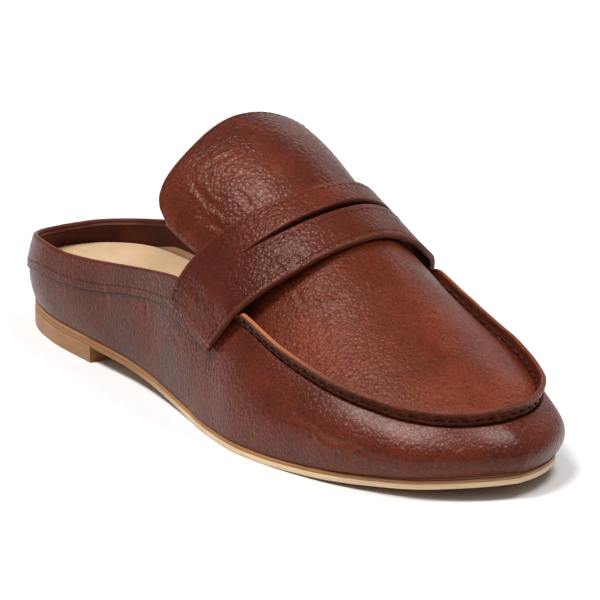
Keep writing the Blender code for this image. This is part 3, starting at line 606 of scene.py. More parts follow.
seamUp = np.column_stack([topOut * math.sin(seam["lean"]), np.full(count, math.cos(seam["lean"]))])
seamOut = np.column_stack([topOut * math.cos(seam["lean"]), np.full(count, -math.sin(seam["lean"]))])
seamBase = top - seamUp * seam["height"]
sinks = ease(topStation, wall["rimSinksFrom"], wall["rimSinksTo"])[:, None]
wallTop = top * (1 - sinks) + (seamBase + seamOut * seam["width"] / 2) * sinks
footHeight = soleBottom(ring[:, 0]) + shoe["soleThickness"] + shoe["clearance"]
wallFoot = np.column_stack([ring - ringOut * shoe["clearance"], footHeight])
wallHeight = wallTop[:, 2] - wallFoot[:, 2]
isOuter = np.arange(count) <= half
swell = np.where(isOuter, tableValue(wallSwell, station, 1), tableValue(wallSwell, station, 3))
power = np.where(isOuter, tableValue(wallSwell, station, 2), tableValue(wallSwell, station, 4))
bandRise = tableValue(bandEdge, station)
bandFade = 1 - ease(station, wall["bandFrom"] - wall["bandFade"], wall["bandFrom"])


footbed = {"heel": 0.0130, "ball": 0.0030, "hollow": 0.0050, "edge": 0.0007, "room": 0.0003, "depth": 0.004,
           "inward": (0.06, 0.14, 0.25, 0.4, 0.55, 0.7, 0.85, 1.0)}


def footbedHeight(x):
    along = x / shoe["soleLength"]
    atHeel = tableValue(footbedTable, along, 1) * footbed["heel"]
    atBall = tableValue(footbedTable, along, 2) * footbed["ball"]
    return soleBottom(x) + shoe["soleThickness"] + shoe["clearance"] + (atHeel + atBall)


bedTop = footbedHeight(ring[:, 0])


def wallPoints(rise):
    bulge = (swell * wall["overhang"] * np.sin(np.pi * rise ** wall["bulgePower"]))[..., None]
    reach = wallTop[:, :2] - wallFoot[:, :2]
    plan = wallFoot[:, :2] + reach * (rise**power)[..., None] + ringOut * bulge
    height = wallFoot[:, 2] + wallHeight * rise
    return np.concatenate([plan, height[..., None]], axis=-1)


def closedNormals(grid):
    around = np.roll(grid, -1, axis=1) - np.roll(grid, 1, axis=1)
    return unit(np.cross(around, np.gradient(grid, axis=0)))


topRise = 1 - wall["rimHeight"] / wallHeight
lip = wall["lip"] / wallHeight
belowRises = np.linspace(0, 1, wall["rowsBelow"])[:, None] * bandRise
lipRises = bandRise + np.array([0.3, 1.0])[:, None] * lip
aboveShares = np.linspace(0, 1, wall["rowsAbove"])[1:, None]
aboveRises = bandRise + lip + (topRise - bandRise - lip) * aboveShares
wallRises = np.concatenate([belowRises, lipRises, aboveRises])
steps = np.concatenate([np.zeros(wall["rowsBelow"]), [0.75], np.ones(wall["rowsAbove"])])
wallGrid = wallPoints(wallRises)
wallGrid[..., :2] += ringOut * (steps[:, None] * bandFade * wall["bandStep"])[..., None]
wallNormals = closedNormals(wallGrid)
smoothNormals = closedNormals(wallPoints(wallRises))
calm = np.sin(np.pi * np.clip(wallRises, 0, 1)) ** 0.5
# Fine pale veins on the outer toe wall and short creases in the waist, where the foot bends it.
wallMarks = [
    ([(0.1985, -0.0422, 0.0177), (0.2041, -0.0409, 0.0184), (0.2097, -0.0399, 0.0178),
      (0.2139, -0.0394, 0.0155), (0.2189, -0.0379, 0.0150), (0.2237, -0.0357, 0.0159),
      (0.2284, -0.0334, 0.0162)], 0.0008, 0.00030),
    ([(0.2237, -0.0357, 0.0159), (0.2270, -0.0346, 0.0146), (0.2300, -0.0334, 0.0133)], 0.0008, 0.00025),
    ([(0.2097, -0.0399, 0.0178), (0.2100, -0.0406, 0.0151), (0.2119, -0.0403, 0.0132)], 0.0008, 0.00025),
    ([(0.1169, -0.0343, 0.0262), (0.1237, -0.0354, 0.0252), (0.1273, -0.0361, 0.0223)], 0.0010, 0.00030),
    ([(0.0720, -0.0309, 0.0295), (0.0750, -0.0306, 0.0262), (0.0763, -0.0309, 0.0226)], 0.0010, 0.00018),
    ([(0.0989, -0.0319, 0.0322), (0.1015, -0.0320, 0.0290), (0.1019, -0.0323, 0.0252)], 0.0010, 0.00018),
    ([(0.1100, 0.0330, 0.0300), (0.1160, 0.0345, 0.0260), (0.1190, 0.0350, 0.0210)], 0.0011, 0.00035),
    ([(0.1300, 0.0330, 0.0280), (0.1340, 0.0345, 0.0240), (0.1410, 0.0350, 0.0220)], 0.0011, 0.00035),
]
wave = unevenness(wallGrid, wall["wave"], 4) * wall["unevenness"] * calm
wallOuter = wallGrid + smoothNormals * wave[..., None]
wallOuter, wallPale = marked(wallOuter, smoothNormals, wallMarks)
rimNormals, rimRise = smoothNormals[-1], unit(wallOuter[-1] - wallOuter[-3])
rimCentre = wallOuter[-1] - rimNormals * wall["thickness"] / 2
rimRows = []
for angle in np.linspace(0, math.pi, wall["rimSteps"] + 1)[1:]:
    across = rimNormals * wall["thickness"] / 2 * math.cos(angle)
    rimRows.append(rimCentre + across + rimRise * wall["rimHeight"] * math.sin(angle))
# One row of the lining follows the line to which the sock leather turns up.
turned = wall["turnUp"] * ease(ring[:, 0], wall["turnFrom"], wall["turnTo"])
turnRise = np.minimum((bedTop + turned - wallFoot[:, 2]) / wallHeight, topRise - wall["turnUnderRim"])
upperShares = np.linspace(0, 1, wall["innerRows"])[1:, None]
lowerShares = np.linspace(0, 1, wall["sockRows"])[1:, None]
liningRises = topRise + (turnRise - topRise) * upperShares
innerRises = np.concatenate([liningRises, turnRise * (1 - wall["innerReach"] * lowerShares)])
innerGrid = wallPoints(innerRises)
innerGrid = innerGrid - closedNormals(innerGrid[::-1])[::-1] * wall["thickness"]
wallRows = np.concatenate([wallOuter, np.array(rimRows), innerGrid])
rowSlots = np.zeros(len(wallRows))
rowSlots[len(wallOuter) + wall["rimSteps"] // 2:] = 2
wallSlots = np.repeat(rowSlots[:, None], count, axis=1)
# In front of the seat the sock leather turns up a little onto the lining.
wallSlots[-wall["sockRows"]:, ring[:, 0] > wall["turnFrom"]] = 3
# On the band the two lip rows take that dark edge finish: painted shadow under the band's edge.
onBand = station < wall["bandFrom"] - wall["bandFade"]
wallSlots[wall["rowsBelow"] - 1:wall["rowsBelow"] + 1, onBand] = 1
wallWorn = np.zeros(wallRows.shape[:2])
wallWorn[:len(wallOuter)] = wallPale * wall["markWear"]
wallWorn[len(wallOuter):len(wallOuter) + wall["rimSteps"]] = wall["rimWear"]
wallFinishes = [wallFinish, bandShadowFinish, liningFinish, sockFinish]
quarters = meshPiece("quarters", wallRows.reshape(-1, 3), ringFaces(len(wallRows), count, True),
                     wallFinishes, wallSlots.reshape(-1), {"worn": wallWorn.reshape(-1)})

# Apron between the raised seams.
apronLook = {"start": 0.570, "tongueRoot": 0.600, "lapEnd": 0.626, "lapRoom": 0.0024, "columns": 96,
             "tongueThickness": 0.0020, "thickness": 0.0018, "unevenness": 0.00025, "wave": 0.03,
             "markWear": 0.3}


def crown(along, share, base):
    height = np.maximum(tableValue(crest, along) * shoe["instepHeight"] - base, 0)
    shape = np.where(share < 0.5, tableValue(fullness, along, 1), tableValue(fullness, along, 2))
    return height * np.sin(np.pi * np.clip(share, 0, 1)) ** shape


frontStations = np.flatnonzero(topStation >= apronLook["start"])
ribs = len(frontStations) // 2
apronFoot = seamBase - seamOut * seam["width"] / 2
ribLeft = apronFoot[frontStations[:ribs]][:, None]
ribRight = apronFoot[frontStations[::-1][:ribs]][:, None]
share = np.linspace(0, 1, apronLook["columns"])[None, :, None]
apronGrid = ribLeft + (ribRight - ribLeft) * share
along = apronGrid[..., 0] / shoe["soleLength"]
share = np.broadcast_to(share[..., 0], along.shape)
lapped = 1 - ease(along, apronLook["tongueRoot"], apronLook["lapEnd"])
sink = (apronLook["tongueThickness"] + apronLook["lapRoom"]) * lapped
lift = crown(along, share, (ribLeft + ribRight)[..., 2] / 2) - sink * np.sqrt(np.sin(np.pi * share).clip(0))
apronGrid[..., 2] += lift
apronNormals = gridNormals(apronGrid)
# Cross creases of the bending toes on the inner side, short ones near the strap on the outer side.
apronMarks = [
    ([(0.2063, -0.0030, 0.0438), (0.2068, 0.0034, 0.0440), (0.2066, 0.0103, 0.0433)], 0.0009, 0.00030),
    ([(0.2093, -0.0005, 0.0427), (0.2093, 0.0045, 0.0428), (0.2090, 0.0098, 0.0423)], 0.0009, 0.00025),
    ([(0.2030, 0.0005, 0.0458), (0.2030, 0.0072, 0.0456), (0.2029, 0.0118, 0.0447)], 0.0009, 0.00025),
    ([(0.1682, -0.0213, 0.0511), (0.1731, -0.0214, 0.0494), (0.1779, -0.0224, 0.0469)], 0.0009, 0.00030),
    ([(0.1793, -0.0166, 0.0511), (0.1831, -0.0147, 0.0507), (0.1863, -0.0136, 0.0499)], 0.0009, 0.00030),
    ([(0.1835, -0.0207, 0.0461), (0.1867, -0.0195, 0.0457), (0.1894, -0.0180, 0.0456)], 0.0008, 0.00025),
    ([(0.1783, -0.0238, 0.0454), (0.1797, -0.0202, 0.0480), (0.1823, -0.0181, 0.0487)], 0.0008, 0.00025),
]
calm = np.sin(np.pi * share).clip(0) ** 0.5
wave = unevenness(apronGrid, apronLook["wave"], 9) * apronLook["unevenness"] * calm
apronGrid, apronPale = marked(apronGrid + apronNormals * wave[..., None], apronNormals, apronMarks)
apron = cutLeather("apron", apronGrid, apronLook["thickness"], -1, [apronFinish] + leatherSet[1:],
                   values={"worn": apronPale * apronLook["markWear"]})

# Raised seam: the two cut edges stand up side by side.
seamStations = np.flatnonzero(topStation >= seam["start"] - seam["ahead"])
seamHeights = seam["height"] * ease(topStation[seamStations], seam["start"], seam["full"])
seamProfile = np.array([
    (1.20, -0.25), (1.16, 0.08), (0.98, 0.30), (1.02, 0.58), (1.00, 0.82), (0.86, 0.95), (0.52, 1.0),
    (0.20, 0.99), (0.0, 0.96), (-0.20, 0.99), (-0.52, 1.0), (-0.86, 0.95), (-1.00, 0.82),
    (-1.02, 0.58), (-0.98, 0.30), (-1.16, 0.08), (-1.20, -0.25)])
seamPath = top[seamStations]
seamLength = np.concatenate([[0], np.cumsum(np.linalg.norm(np.diff(seamPath, axis=0), axis=1))])
pull = (0.5 + 0.5 * np.cos(2 * np.pi * seamLength / seam["pitch"])) ** 3 * seam["scallop"]
seamRows = []
for out, rise in seamProfile:
    waist = np.exp(-(((rise - 0.35) / 0.3) ** 2)) * np.sign(out)
    sideways = out * seam["edgeWidth"] - waist * pull
    upward = seamHeights * rise + unevenness(seamPath, seam["wave"], 3) * seam["unevenness"]
    seamRows.append(seamBase[seamStations] + seamOut[seamStations] * sideways[:, None]
                    + seamUp[seamStations] * upward[:, None])
seamGrid = np.array(seamRows)
seamWorn = np.repeat((seamProfile[:, 1] > seam["rawFrom"])[:, None], len(seamStations), axis=1) * 1.0
number = np.arange(seamWorn.size).reshape(seamWorn.shape)
following = np.roll(number, -1, 0)
seamFaces = np.stack([number[:, :-1], number[:, 1:], following[:, 1:], following[:, :-1]], axis=-1)
# The sides keep slot 0, the darker seam leather with painted shade; the top rows take the raw edge.
seamSlots = np.zeros(seamFaces.shape[:2])
seamSlots[6:10] = 1
seamFaces = seamFaces.reshape(-1, 4).tolist() + [number[::-1, 0].tolist(), number[:, -1].tolist()]
raisedSeam = meshPiece("raisedSeam", seamGrid.reshape(-1, 3), seamFaces, [seamShadeFinish, rawFinish],
                       list(seamSlots.reshape(-1)) + [0, 0], {"worn": seamWorn.reshape(-1)})

# Tongue: from under the strap up to its rounded end.
tongueLook = {"root": 0.600, "narrowFrom": 0.490, "narrowTo": 0.560, "rootWidth": 0.79, "thickness": 0.0020,
              "rows": 120, "columns": 101, "unevenness": 0.0003, "wave": 0.035, "edgeBulge": 0.0005,
              "markWear": 0.3, "sideWear": 0.5, "sideWearWidth": 0.03}


def instepPoints(along, across):
    share = (across + 1) / 2
    left = [along * shoe["soleLength"], tableValue(shoulders, along, 1) * shoe["ballWidth"],
            tableValue(shoulders, along, 2) * shoe["instepHeight"]]
    right = [left[0], tableValue(shoulders, along, 3) * shoe["ballWidth"],
             tableValue(shoulders, along, 4) * shoe["instepHeight"]]
    left, right = np.stack(left, axis=-1), np.stack(right, axis=-1)
    points = left + (right - left) * share[..., None]
    points[..., 2] += crown(along, share, (left[..., 2] + right[..., 2]) / 2)
    return points


across = -np.cos(np.pi * np.linspace(0, 1, tongueLook["columns"]))[None]
endStation = tableValue(tongueEnd, across)
along = endStation + (tongueLook["root"] - endStation) * np.linspace(0, 1, tongueLook["rows"])[:, None]
narrow = (1 - tongueLook["rootWidth"]) * ease(along, tongueLook["narrowFrom"], tongueLook["narrowTo"])
tongueGrid = instepPoints(along, np.broadcast_to(across, along.shape) * (1 - narrow))
tongueNormals = gridNormals(tongueGrid)
# Wrinkles of the outer side, where the tongue turns down.
tongueMarks = [
    ([(0.1120, -0.0221, 0.0743), (0.1181, -0.0228, 0.0714), (0.1249, -0.0228, 0.0682),
      (0.1320, -0.0214, 0.0667)], 0.0009, 0.00035),
    ([(0.1210, -0.0162, 0.0769), (0.1260, -0.0140, 0.0767), (0.1301, -0.0111, 0.0772)], 0.0009, 0.00030),
    ([(0.1147, -0.0188, 0.0768), (0.1169, -0.0146, 0.0796), (0.1194, -0.0106, 0.0815)], 0.0009, 0.00030),
    ([(0.1225, -0.0258, 0.0652), (0.1298, -0.0250, 0.0629), (0.1344, -0.0242, 0.0619)], 0.0009, 0.00030),
    ([(0.1312, -0.0163, 0.0724), (0.1356, -0.0159, 0.0705), (0.1392, -0.0161, 0.0685)], 0.0009, 0.00030),
]
wave = unevenness(tongueGrid, tongueLook["wave"], 12) * tongueLook["unevenness"] * (1 - across**4)
tongueGrid, tonguePale = marked(tongueGrid + tongueNormals * wave[..., None], tongueNormals, tongueMarks)
sideWear = np.exp(-(1 - np.abs(across)) / tongueLook["sideWearWidth"]) * tongueLook["sideWear"]
tongueWorn = np.maximum(tonguePale * tongueLook["markWear"], np.broadcast_to(sideWear, along.shape))
tongueLeather = cutLeather("tongueLeather", tongueGrid, tongueLook["thickness"], -1, leatherSet,
                           bulge=tongueLook["edgeBulge"], values={"worn": tongueWorn})

# Saddle strap with its slit.
strap = {
    "thickness": 0.0021, "belly": 0.0010, "clearance": 0.0005, "rayReach": 0.008, "hemLiesTo": 0.08,
    "hemFreeFrom": 0.18, "slitOpening": 0.0030, "slitEnd": 0.0006, "slitFrom": 0.24, "slitTo": 0.80,
    "slitPlace": 0.44, "columns": 41, "halfRibs": 5, "finer": 6, "finerColumns": 8,
    "slitTrim": (0.009, 0.001), "markWear": 0.3, "edgeWear": 0.45, "edgeWearWidth": 0.03,
}


def strapSheet(columns, halfRibs):
    shares = np.linspace(0, 1, columns)
    table = np.array(strapTable)
    rear = atShares(curveThrough(scaled(table[:, :3])), shares)
    front = atShares(curveThrough(scaled(table[:, 3:])), shares)
    width = np.linalg.norm(front - rear, axis=1)
    inside = np.clip((shares - strap["slitFrom"]) / (strap["slitTo"] - strap["slitFrom"]), 0, 1)
    opening = strap["slitOpening"] * np.sin(np.pi * inside).clip(0) ** 0.8
    gap = (strap["slitEnd"] + opening) / 2 / width
    run = np.linspace(0, 1, halfRibs)[:, None]
    ahead = (1 - strap["slitPlace"] - gap) * (1 - run)
    place = np.concatenate([(strap["slitPlace"] - gap) * run, 1 - ahead])
    sheet = rear + (front - rear) * place[..., None]
    sheet[..., 2] += strap["belly"] * np.sin(np.pi * place) * np.sin(np.pi * shares)
    return sheet, shares, place


def combined(values, reach, rule):
    padded = np.pad(values, reach, mode="edge")
    rows, columns = values.shape
    shifts = range(2 * reach + 1)
    return rule([padded[r:r + rows, c:c + columns] for r in shifts for c in shifts], axis=0)


def strapLift(sheet, shares):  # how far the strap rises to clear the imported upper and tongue
    trees = []
    for node in ("upper", "tongue"):
        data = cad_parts[node].data
        corners = [tuple(face.vertices) for face in data.polygons]
        trees.append(BVHTree.FromPolygons([v.co for v in data.vertices], corners))
    normals = gridNormals(sheet)
    fine, directions = (refined(refined(grid, 2, 0), 2, 1) for grid in (sheet, normals))
    needed = np.full(fine.shape[:2], -strap["rayReach"])
    for r, c in np.ndindex(*needed.shape):
        direction = Vector(directions[r, c])
        start = Vector(fine[r, c] - middle) + direction * strap["rayReach"]
        for tree in trees:
            distance = tree.ray_cast(start, -direction, 2 * strap["rayReach"])[3]
            if distance is not None:
                needed[r, c] = max(needed[r, c], strap["rayReach"] - distance + strap["clearance"])
    raised = combined(needed, 2, np.max)[::2, ::2]
    hems = 1 - ease(np.minimum(shares, 1 - shares), strap["hemLiesTo"], strap["hemFreeFrom"])
    raised = np.where(raised > 0, raised, np.where(raised > -strap["rayReach"], raised * hems, 0))
    return np.maximum(combined(raised, 2, np.mean), raised)


coarse, coarseShares, _ = strapSheet(strap["columns"], strap["halfRibs"])
coarseLift = strapLift(coarse, coarseShares)
fineRibs = (strap["halfRibs"] - 1) * strap["finer"] + 1
fineColumns = (strap["columns"] - 1) * strap["finerColumns"] + 1
halves = [refined(lift, strap["finer"], 0) for lift in np.split(coarseLift, 2)]
fineLift = refined(np.concatenate(halves), strap["finerColumns"], 1)
strapGrid, strapShares, strapPlaces = strapSheet(fineColumns, fineRibs)
strapGrid = strapGrid + gridNormals(strapGrid) * fineLift[..., None]
strapNormals = gridNormals(strapGrid)
strapMarks = [
    ([(0.1294, -0.0367, 0.0444), (0.1351, -0.0371, 0.0429), (0.1402, -0.0377, 0.0404)], 0.0009, 0.00025),
    ([(0.1584, -0.0236, 0.0597), (0.1612, -0.0199, 0.0617), (0.1639, -0.0161, 0.0632)], 0.0009, 0.00025),
]
strapGrid, strapPale = marked(strapGrid, strapNormals, strapMarks)
edgeWear = np.exp(-np.minimum(strapPlaces, 1 - strapPlaces) / strap["edgeWearWidth"]) * strap["edgeWear"]
strapWorn = np.maximum(strapPale * strap["markWear"], edgeWear)
kept = np.ones((2 * fineRibs - 1, len(strapShares) - 1), bool)
slitStarts = strapShares[:-1] >= strap["slitFrom"] + strap["slitTrim"][0]
slitEnds = strapShares[1:] <= strap["slitTo"] + strap["slitTrim"][1]
kept[fineRibs - 1, slitStarts & slitEnds] = False
saddle = cutLeather("saddle", strapGrid, strap["thickness"], 1, [strapFinish] + leatherSet[1:],
                    kept.reshape(-1), values={"worn": strapWorn})


# Footbed inside the wall.
def plateRows(edgeRing, profile, inward, height, hollow=None):
    # Rings from the middle of the underside, out to the edge and over to the middle of the upper side.
    out = outwardOf(edgeRing)
    centre = (edgeRing + edgeRing[partner]) / 2
    middleX = centre[:, 0].mean()
    centre[:, 0] = middleX + (centre[:, 0] - middleX) * 0.93  # the middle line ends a little before the edge
    first, last = profile[0], profile[-1]
    plan = [(edgeRing - out * first[0]) * (1 - s) + centre * s for s in inward[::-1]]
    rows = [np.column_stack([p, height(p[:, 0]) + first[1]]) for p in plan]
    for inset, lift in profile:
        p = edgeRing - out * inset
        rows.append(np.column_stack([p, height(p[:, 0]) + lift]))
    for s in inward:
        p = (edgeRing - out * last[0]) * (1 - s) + centre * s
        dip = 0 if hollow is None else hollow(s)
        rows.append(np.column_stack([p, height(p[:, 0]) + last[1] - dip]))
    return np.array(rows)


innerUp = innerGrid[::-1]
bedRing = np.array([[np.interp(bedTop[k], innerUp[:, k, 2], innerUp[:, k, n]) for n in (0, 1)]
                    for k in range(count)])
bedRing = bedRing - outwardOf(bedRing) * footbed["room"]
bedShare = np.minimum(np.arange(count), count - np.arange(count)) / half


def heelCup(s):
    reach = ease(bedShare, 0, 0.15) * (1 - ease(bedShare, 0.3, 0.55))
    return footbed["hollow"] * math.sin(math.pi * s / 2) ** 0.6 * reach


edge = footbed["edge"]
rounding = [(edge * (1 - math.sin(a)), -edge * (1 - math.cos(a))) for a in np.linspace(math.pi / 2, 0, 6)]
bedProfile = [(0.0, -footbed["depth"])] + rounding
bedRows = plateRows(bedRing, bedProfile, footbed["inward"], footbedHeight, heelCup)
sock = meshPiece("sock", bedRows.reshape(-1, 3), ringFaces(len(bedRows), count), [sockFinish])

# Outsole, its edge pale below the groove with painted light from the floor, then the heel.
sole = {"bevel": 0.0005, "welt": 0.0012, "groove": 0.00018, "inward": (0.08, 0.2, 0.4, 0.65, 0.85, 1.0)}
thick = shoe["soleThickness"]
line = thick - sole["welt"]
soleRows = [
    (sole["bevel"], 0.0), (0.0002, 0.00012), (0.0, sole["bevel"]), (0.0, line * 0.6), (0.0, line - 0.00016),
    (sole["groove"], line), (0.0, line + 0.00016), (-0.0001, thick - 0.0004), (0.0001, thick - 0.0001),
    (0.0004, thick)]
plate = plateRows(ring, soleRows, sole["inward"], soleBottom)
slots = np.zeros(len(plate) - 1)
slots[:len(sole["inward"]) + 1] = 2
# The faces below the groove take the pale finish: painted light from the floor.
slots[len(sole["inward"]) + 1:len(sole["inward"]) + 5] = 1
soleLeather = meshPiece("soleLeather", plate.reshape(-1, 3), ringFaces(len(plate), count),
                        [soleEdgeFinish, floorLightEdgeFinish, underFinish], np.repeat(slots, count))

heel = {"length": 0.0625, "bevel": 0.0005, "proud": 0.0001, "seatTrim": 0.0005, "breastPoints": 24}


def heelRing(inset):
    seat = ring[:, 0] < heel["length"] - heel["seatTrim"]
    outerSide = np.flatnonzero(seat & (np.arange(count) < half))
    innerSide = np.flatnonzero(seat & (np.arange(count) > half))
    plan = ring - ringOut * inset
    start = np.array([heel["length"], plan[outerSide[-1] + 1, 1]])
    end = np.array([heel["length"], plan[innerSide[0] - 1, 1]])
    breast = [start + (end - start) * t for t in np.linspace(0, 1, heel["breastPoints"])]
    return np.concatenate([plan[outerSide], breast, plan[innerSide]])


heelRows = []
for inset, share in ((heel["bevel"], 0.0), (0.0001, 0.03), (0.0, 0.1), (0.0, 0.5), (0.0, 0.9), (0.0, 1.0)):
    plan = heelRing(inset - heel["proud"])
    heelRows.append(np.column_stack([plan, (soleBottom(plan[:, 0]) + heel["bevel"]) * share]))
heelRows = np.array(heelRows)
columns = heelRows.shape[1]
heelFaces = ringFaces(len(heelRows), columns).tolist()
heelFaces += [list(range(columns))[::-1], [(len(heelRows) - 1) * columns + c for c in range(columns)]]
heelLift = meshPiece("heelLift", heelRows.reshape(-1, 3), heelFaces, [heelFinish])


def stitchTree():
    # One tree makes every row: small beads at an even pitch that follow the path and face outwards.
    tree = bpy.data.node_groups.new("stitchRow", "GeometryNodeTree")
    kinds = [("Path", "NodeSocketGeometry"), ("Pitch", "NodeSocketFloat"), ("Length", "NodeSocketFloat"),
             ("Width", "NodeSocketFloat"), ("Height", "NodeSocketFloat"), ("Seed", "NodeSocketInt"),
             ("Thread", "NodeSocketMaterial")]
    for label, kind in kinds:
        tree.interface.new_socket(name=label, in_out="INPUT", socket_type=kind)
    tree.interface.new_socket(name="Stitches", in_out="OUTPUT", socket_type="NodeSocketGeometry")
    start, end = tree.nodes.new("NodeGroupInput"), tree.nodes.new("NodeGroupOutput")

    def add(kind, settings, values, output=0):
        node = tree.nodes.new(kind)
        for key, value in settings.items():
            setattr(node, key, value)
        for key, value in values.items():
            if isinstance(value, bpy.types.NodeSocket):
                tree.links.new(value, node.inputs[key])
            else:
                node.inputs[key].default_value = value
        return node.outputs[output]

    curve = add("GeometryNodeMeshToCurve", {}, {"Mesh": start.outputs["Path"]})
    even = add("GeometryNodeResampleCurve", {"mode": "LENGTH"},
               {"Curve": curve, "Length": start.outputs["Pitch"]})
    tangent = add("GeometryNodeInputTangent", {}, {})
    facing = add("GeometryNodeInputNamedAttribute", {"data_type": "FLOAT_VECTOR"}, {"Name": "facing"})
    turned = add("FunctionNodeAlignRotationToVector", {"axis": "X"}, {"Vector": tangent})
    settled = add("FunctionNodeAlignRotationToVector", {"axis": "Z", "pivot_axis": "X"},
                  {"Rotation": turned, "Vector": facing})
    varied = add("FunctionNodeRandomValue", {"data_type": "FLOAT"},
                 {2: 0.85, 3: 1.12, "Seed": start.outputs["Seed"]}, 1)
    size = add("ShaderNodeCombineXYZ", {}, {"X": start.outputs["Length"], "Y": start.outputs["Width"],
                                            "Z": start.outputs["Height"]})
    size = add("ShaderNodeVectorMath", {"operation": "SCALE"}, {0: size, "Scale": varied})
    bead = add("GeometryNodeMeshUVSphere", {}, {"Segments": 10, "Rings": 6, "Radius": 0.5})
    beads = add("GeometryNodeInstanceOnPoints", {}, {"Points": even, "Instance": bead, "Rotation": settled,
                                                     "Scale": size})
    plain = add("GeometryNodeRealizeInstances", {}, {"Geometry": beads})
    finished = add("GeometryNodeSetMaterial", {}, {"Geometry": plain, "Material": start.outputs["Thread"]})
    tree.links.new(finished, end.inputs[0])
    return tree


stitchRow = stitchTree()


def stitches(name, paths, look, thread):
    # Paths are (points, the way each one faces); one stitch lies on each pitch.
    vertices, facings, edges = [], [], []
    for points, away in paths:
        start = len(vertices)
        vertices += [tuple(p) for p in np.asarray(points) - middle]
        facings += [tuple(a) for a in away]
        edges += [(n, n + 1) for n in range(start, len(vertices) - 1)]
    mesh = bpy.data.meshes.new(name + "Path")
    mesh.from_pydata(vertices, edges, [])
    mesh.attributes.new("facing", "FLOAT_VECTOR", "POINT").data.foreach_set("vector", np.ravel(facings))
    obj = placed(name, mesh)
    row = obj.modifiers.new("row", "NODES")
    row.node_group = stitchRow
    wanted = {key.capitalize(): value for key, value in look.items()}
    wanted["Thread"] = thread
    for item in stitchRow.interface.items_tree:
        if item.item_type == "SOCKET" and item.in_out == "INPUT" and item.name in wanted:
            row[item.identifier] = wanted[item.name]
    made = bpy.data.meshes.new_from_object(obj.evaluated_get(bpy.context.evaluated_depsgraph_get()))
    obj.modifiers.clear()
    obj.data = made
    made.shade_smooth()
    print("made", name, len(made.polygons), "faces")
    return obj


def wallRowAt(rise):  # points and facings on the wall's outer face at a rise per station
    places = np.array([np.interp(rise[k], wallRises[:, k], np.arange(len(wallRises))) for k in range(count)])
    return picked(wallOuter, places), unit(picked(wallNormals, places))


def gridRow(grid, normals, places, raised):
    return picked(grid, places) + picked(normals, places) * raised, unit(picked(normals, places))


seamThread = {"pitch": 0.0043, "length": 0.0034, "width": 0.0008, "height": 0.0009, "seed": 2}
bandThread = {"pitch": 0.0026, "length": 0.0018, "width": 0.0005, "height": 0.0003, "seed": 5}
rimThread = dict(bandThread, pitch=0.0028, length=0.0020, height=0.0004, seed=7)
strapThread = dict(bandThread, pitch=0.0025, seed=11)
hemThread = dict(bandThread, pitch=0.0027, height=0.0004, seed=13)
tongueThread = dict(bandThread, pitch=0.0027, length=0.0020, height=0.00035, seed=17)
# Where the rows lie: distances from a foot or an edge, grid rows and columns, and last stations.
rowsLie = {"seamOuter": (0.00112, 0.0010), "seamInner": (0.00106, 0.0013), "bandRise": 0.0028,
           "bandEnds": 0.49, "rimEnds": 0.50, "strapEdge": 0.0018, "strapLip": 0.0020, "strapEnds": 12,
           "lipFrom": 0.2, "lipTo": 0.84, "hemColumns": (6, -7), "tongueSide": 4, "tongueEnd": 3,
           "tongueReach": 0.62}


def roundHeel(lastStation):  # stations from one side to the other round the heel
    chosen = np.flatnonzero(station < lastStation)
    return chosen[np.argsort((chosen + half) % count)]


# Raised seam: its outer foot, and its inner foot near the strap.
seamShow = seamStations[seamHeights > seam["height"] * 0.9]
outerPlace, innerPlace = rowsLie["seamOuter"], rowsLie["seamInner"]
outerFoot = seamBase[seamShow] + seamOut[seamShow] * outerPlace[0] + seamUp[seamShow] * outerPlace[1]
innerFoot = seamBase[seamShow] - seamOut[seamShow] * innerPlace[0] + seamUp[seamShow] * innerPlace[1]
seamPaths = [(outerFoot, seamOut[seamShow]), (innerFoot, -seamOut[seamShow])]
seamStitches = stitches("seamStitches", seamPaths, seamThread, fineThreadFinish)

# Counter band: one row just above its lower edge.
bandStations = roundHeel(rowsLie["bandEnds"])
bandPath, bandFacing = wallRowAt(bandRise + rowsLie["bandRise"] / wallHeight)
bandPaths = [(bandPath[bandStations], bandFacing[bandStations])]
bandStitches = stitches("bandStitches", bandPaths, bandThread, fineThreadFinish)

# Rim: a row below the edge on the lining side.
rimStations = roundHeel(rowsLie["rimEnds"])
rimFacing = -closedNormals(innerGrid[::-1])[::-1][1]
rimPaths = [(innerGrid[1][rimStations], rimFacing[rimStations])]
rimStitches = stitches("rimStitches", rimPaths, rimThread, fineThreadFinish)

# Strap: rear edge, front edge and the front lip of the slit, then the two hems.
halfRows = fineRibs - 1
rearWidth = np.linalg.norm(strapGrid[halfRows] - strapGrid[0], axis=1)
frontWidth = np.linalg.norm(strapGrid[-1] - strapGrid[fineRibs], axis=1)
edgeColumns = slice(rowsLie["strapEnds"], len(strapShares) - rowsLie["strapEnds"])
lipColumns = np.flatnonzero((strapShares > rowsLie["lipFrom"]) & (strapShares < rowsLie["lipTo"]))
rearPlaces = rowsLie["strapEdge"] / rearWidth * halfRows
frontPlaces = (1 - rowsLie["strapEdge"] / frontWidth) * halfRows
lipPlaces = rowsLie["strapLip"] / frontWidth * halfRows
strapPaths = []
for rows, places, chosen in ((slice(None, fineRibs), rearPlaces, edgeColumns),
                             (slice(fineRibs, None), frontPlaces, edgeColumns),
                             (slice(fineRibs, None), lipPlaces, lipColumns)):
    path, facing = gridRow(strapGrid[rows], strapNormals[rows], places, strap["thickness"])
    strapPaths.append((path[chosen], facing[chosen]))
strapStitches = stitches("strapStitches", strapPaths, strapThread, fineThreadFinish)
strapFace = strapGrid + strapNormals * strap["thickness"]
hemPaths = [(strapFace[:, c], strapNormals[:, c]) for c in rowsLie["hemColumns"]]
hemStitches = stitches("hemStitches", hemPaths, hemThread, paleThreadFinish)

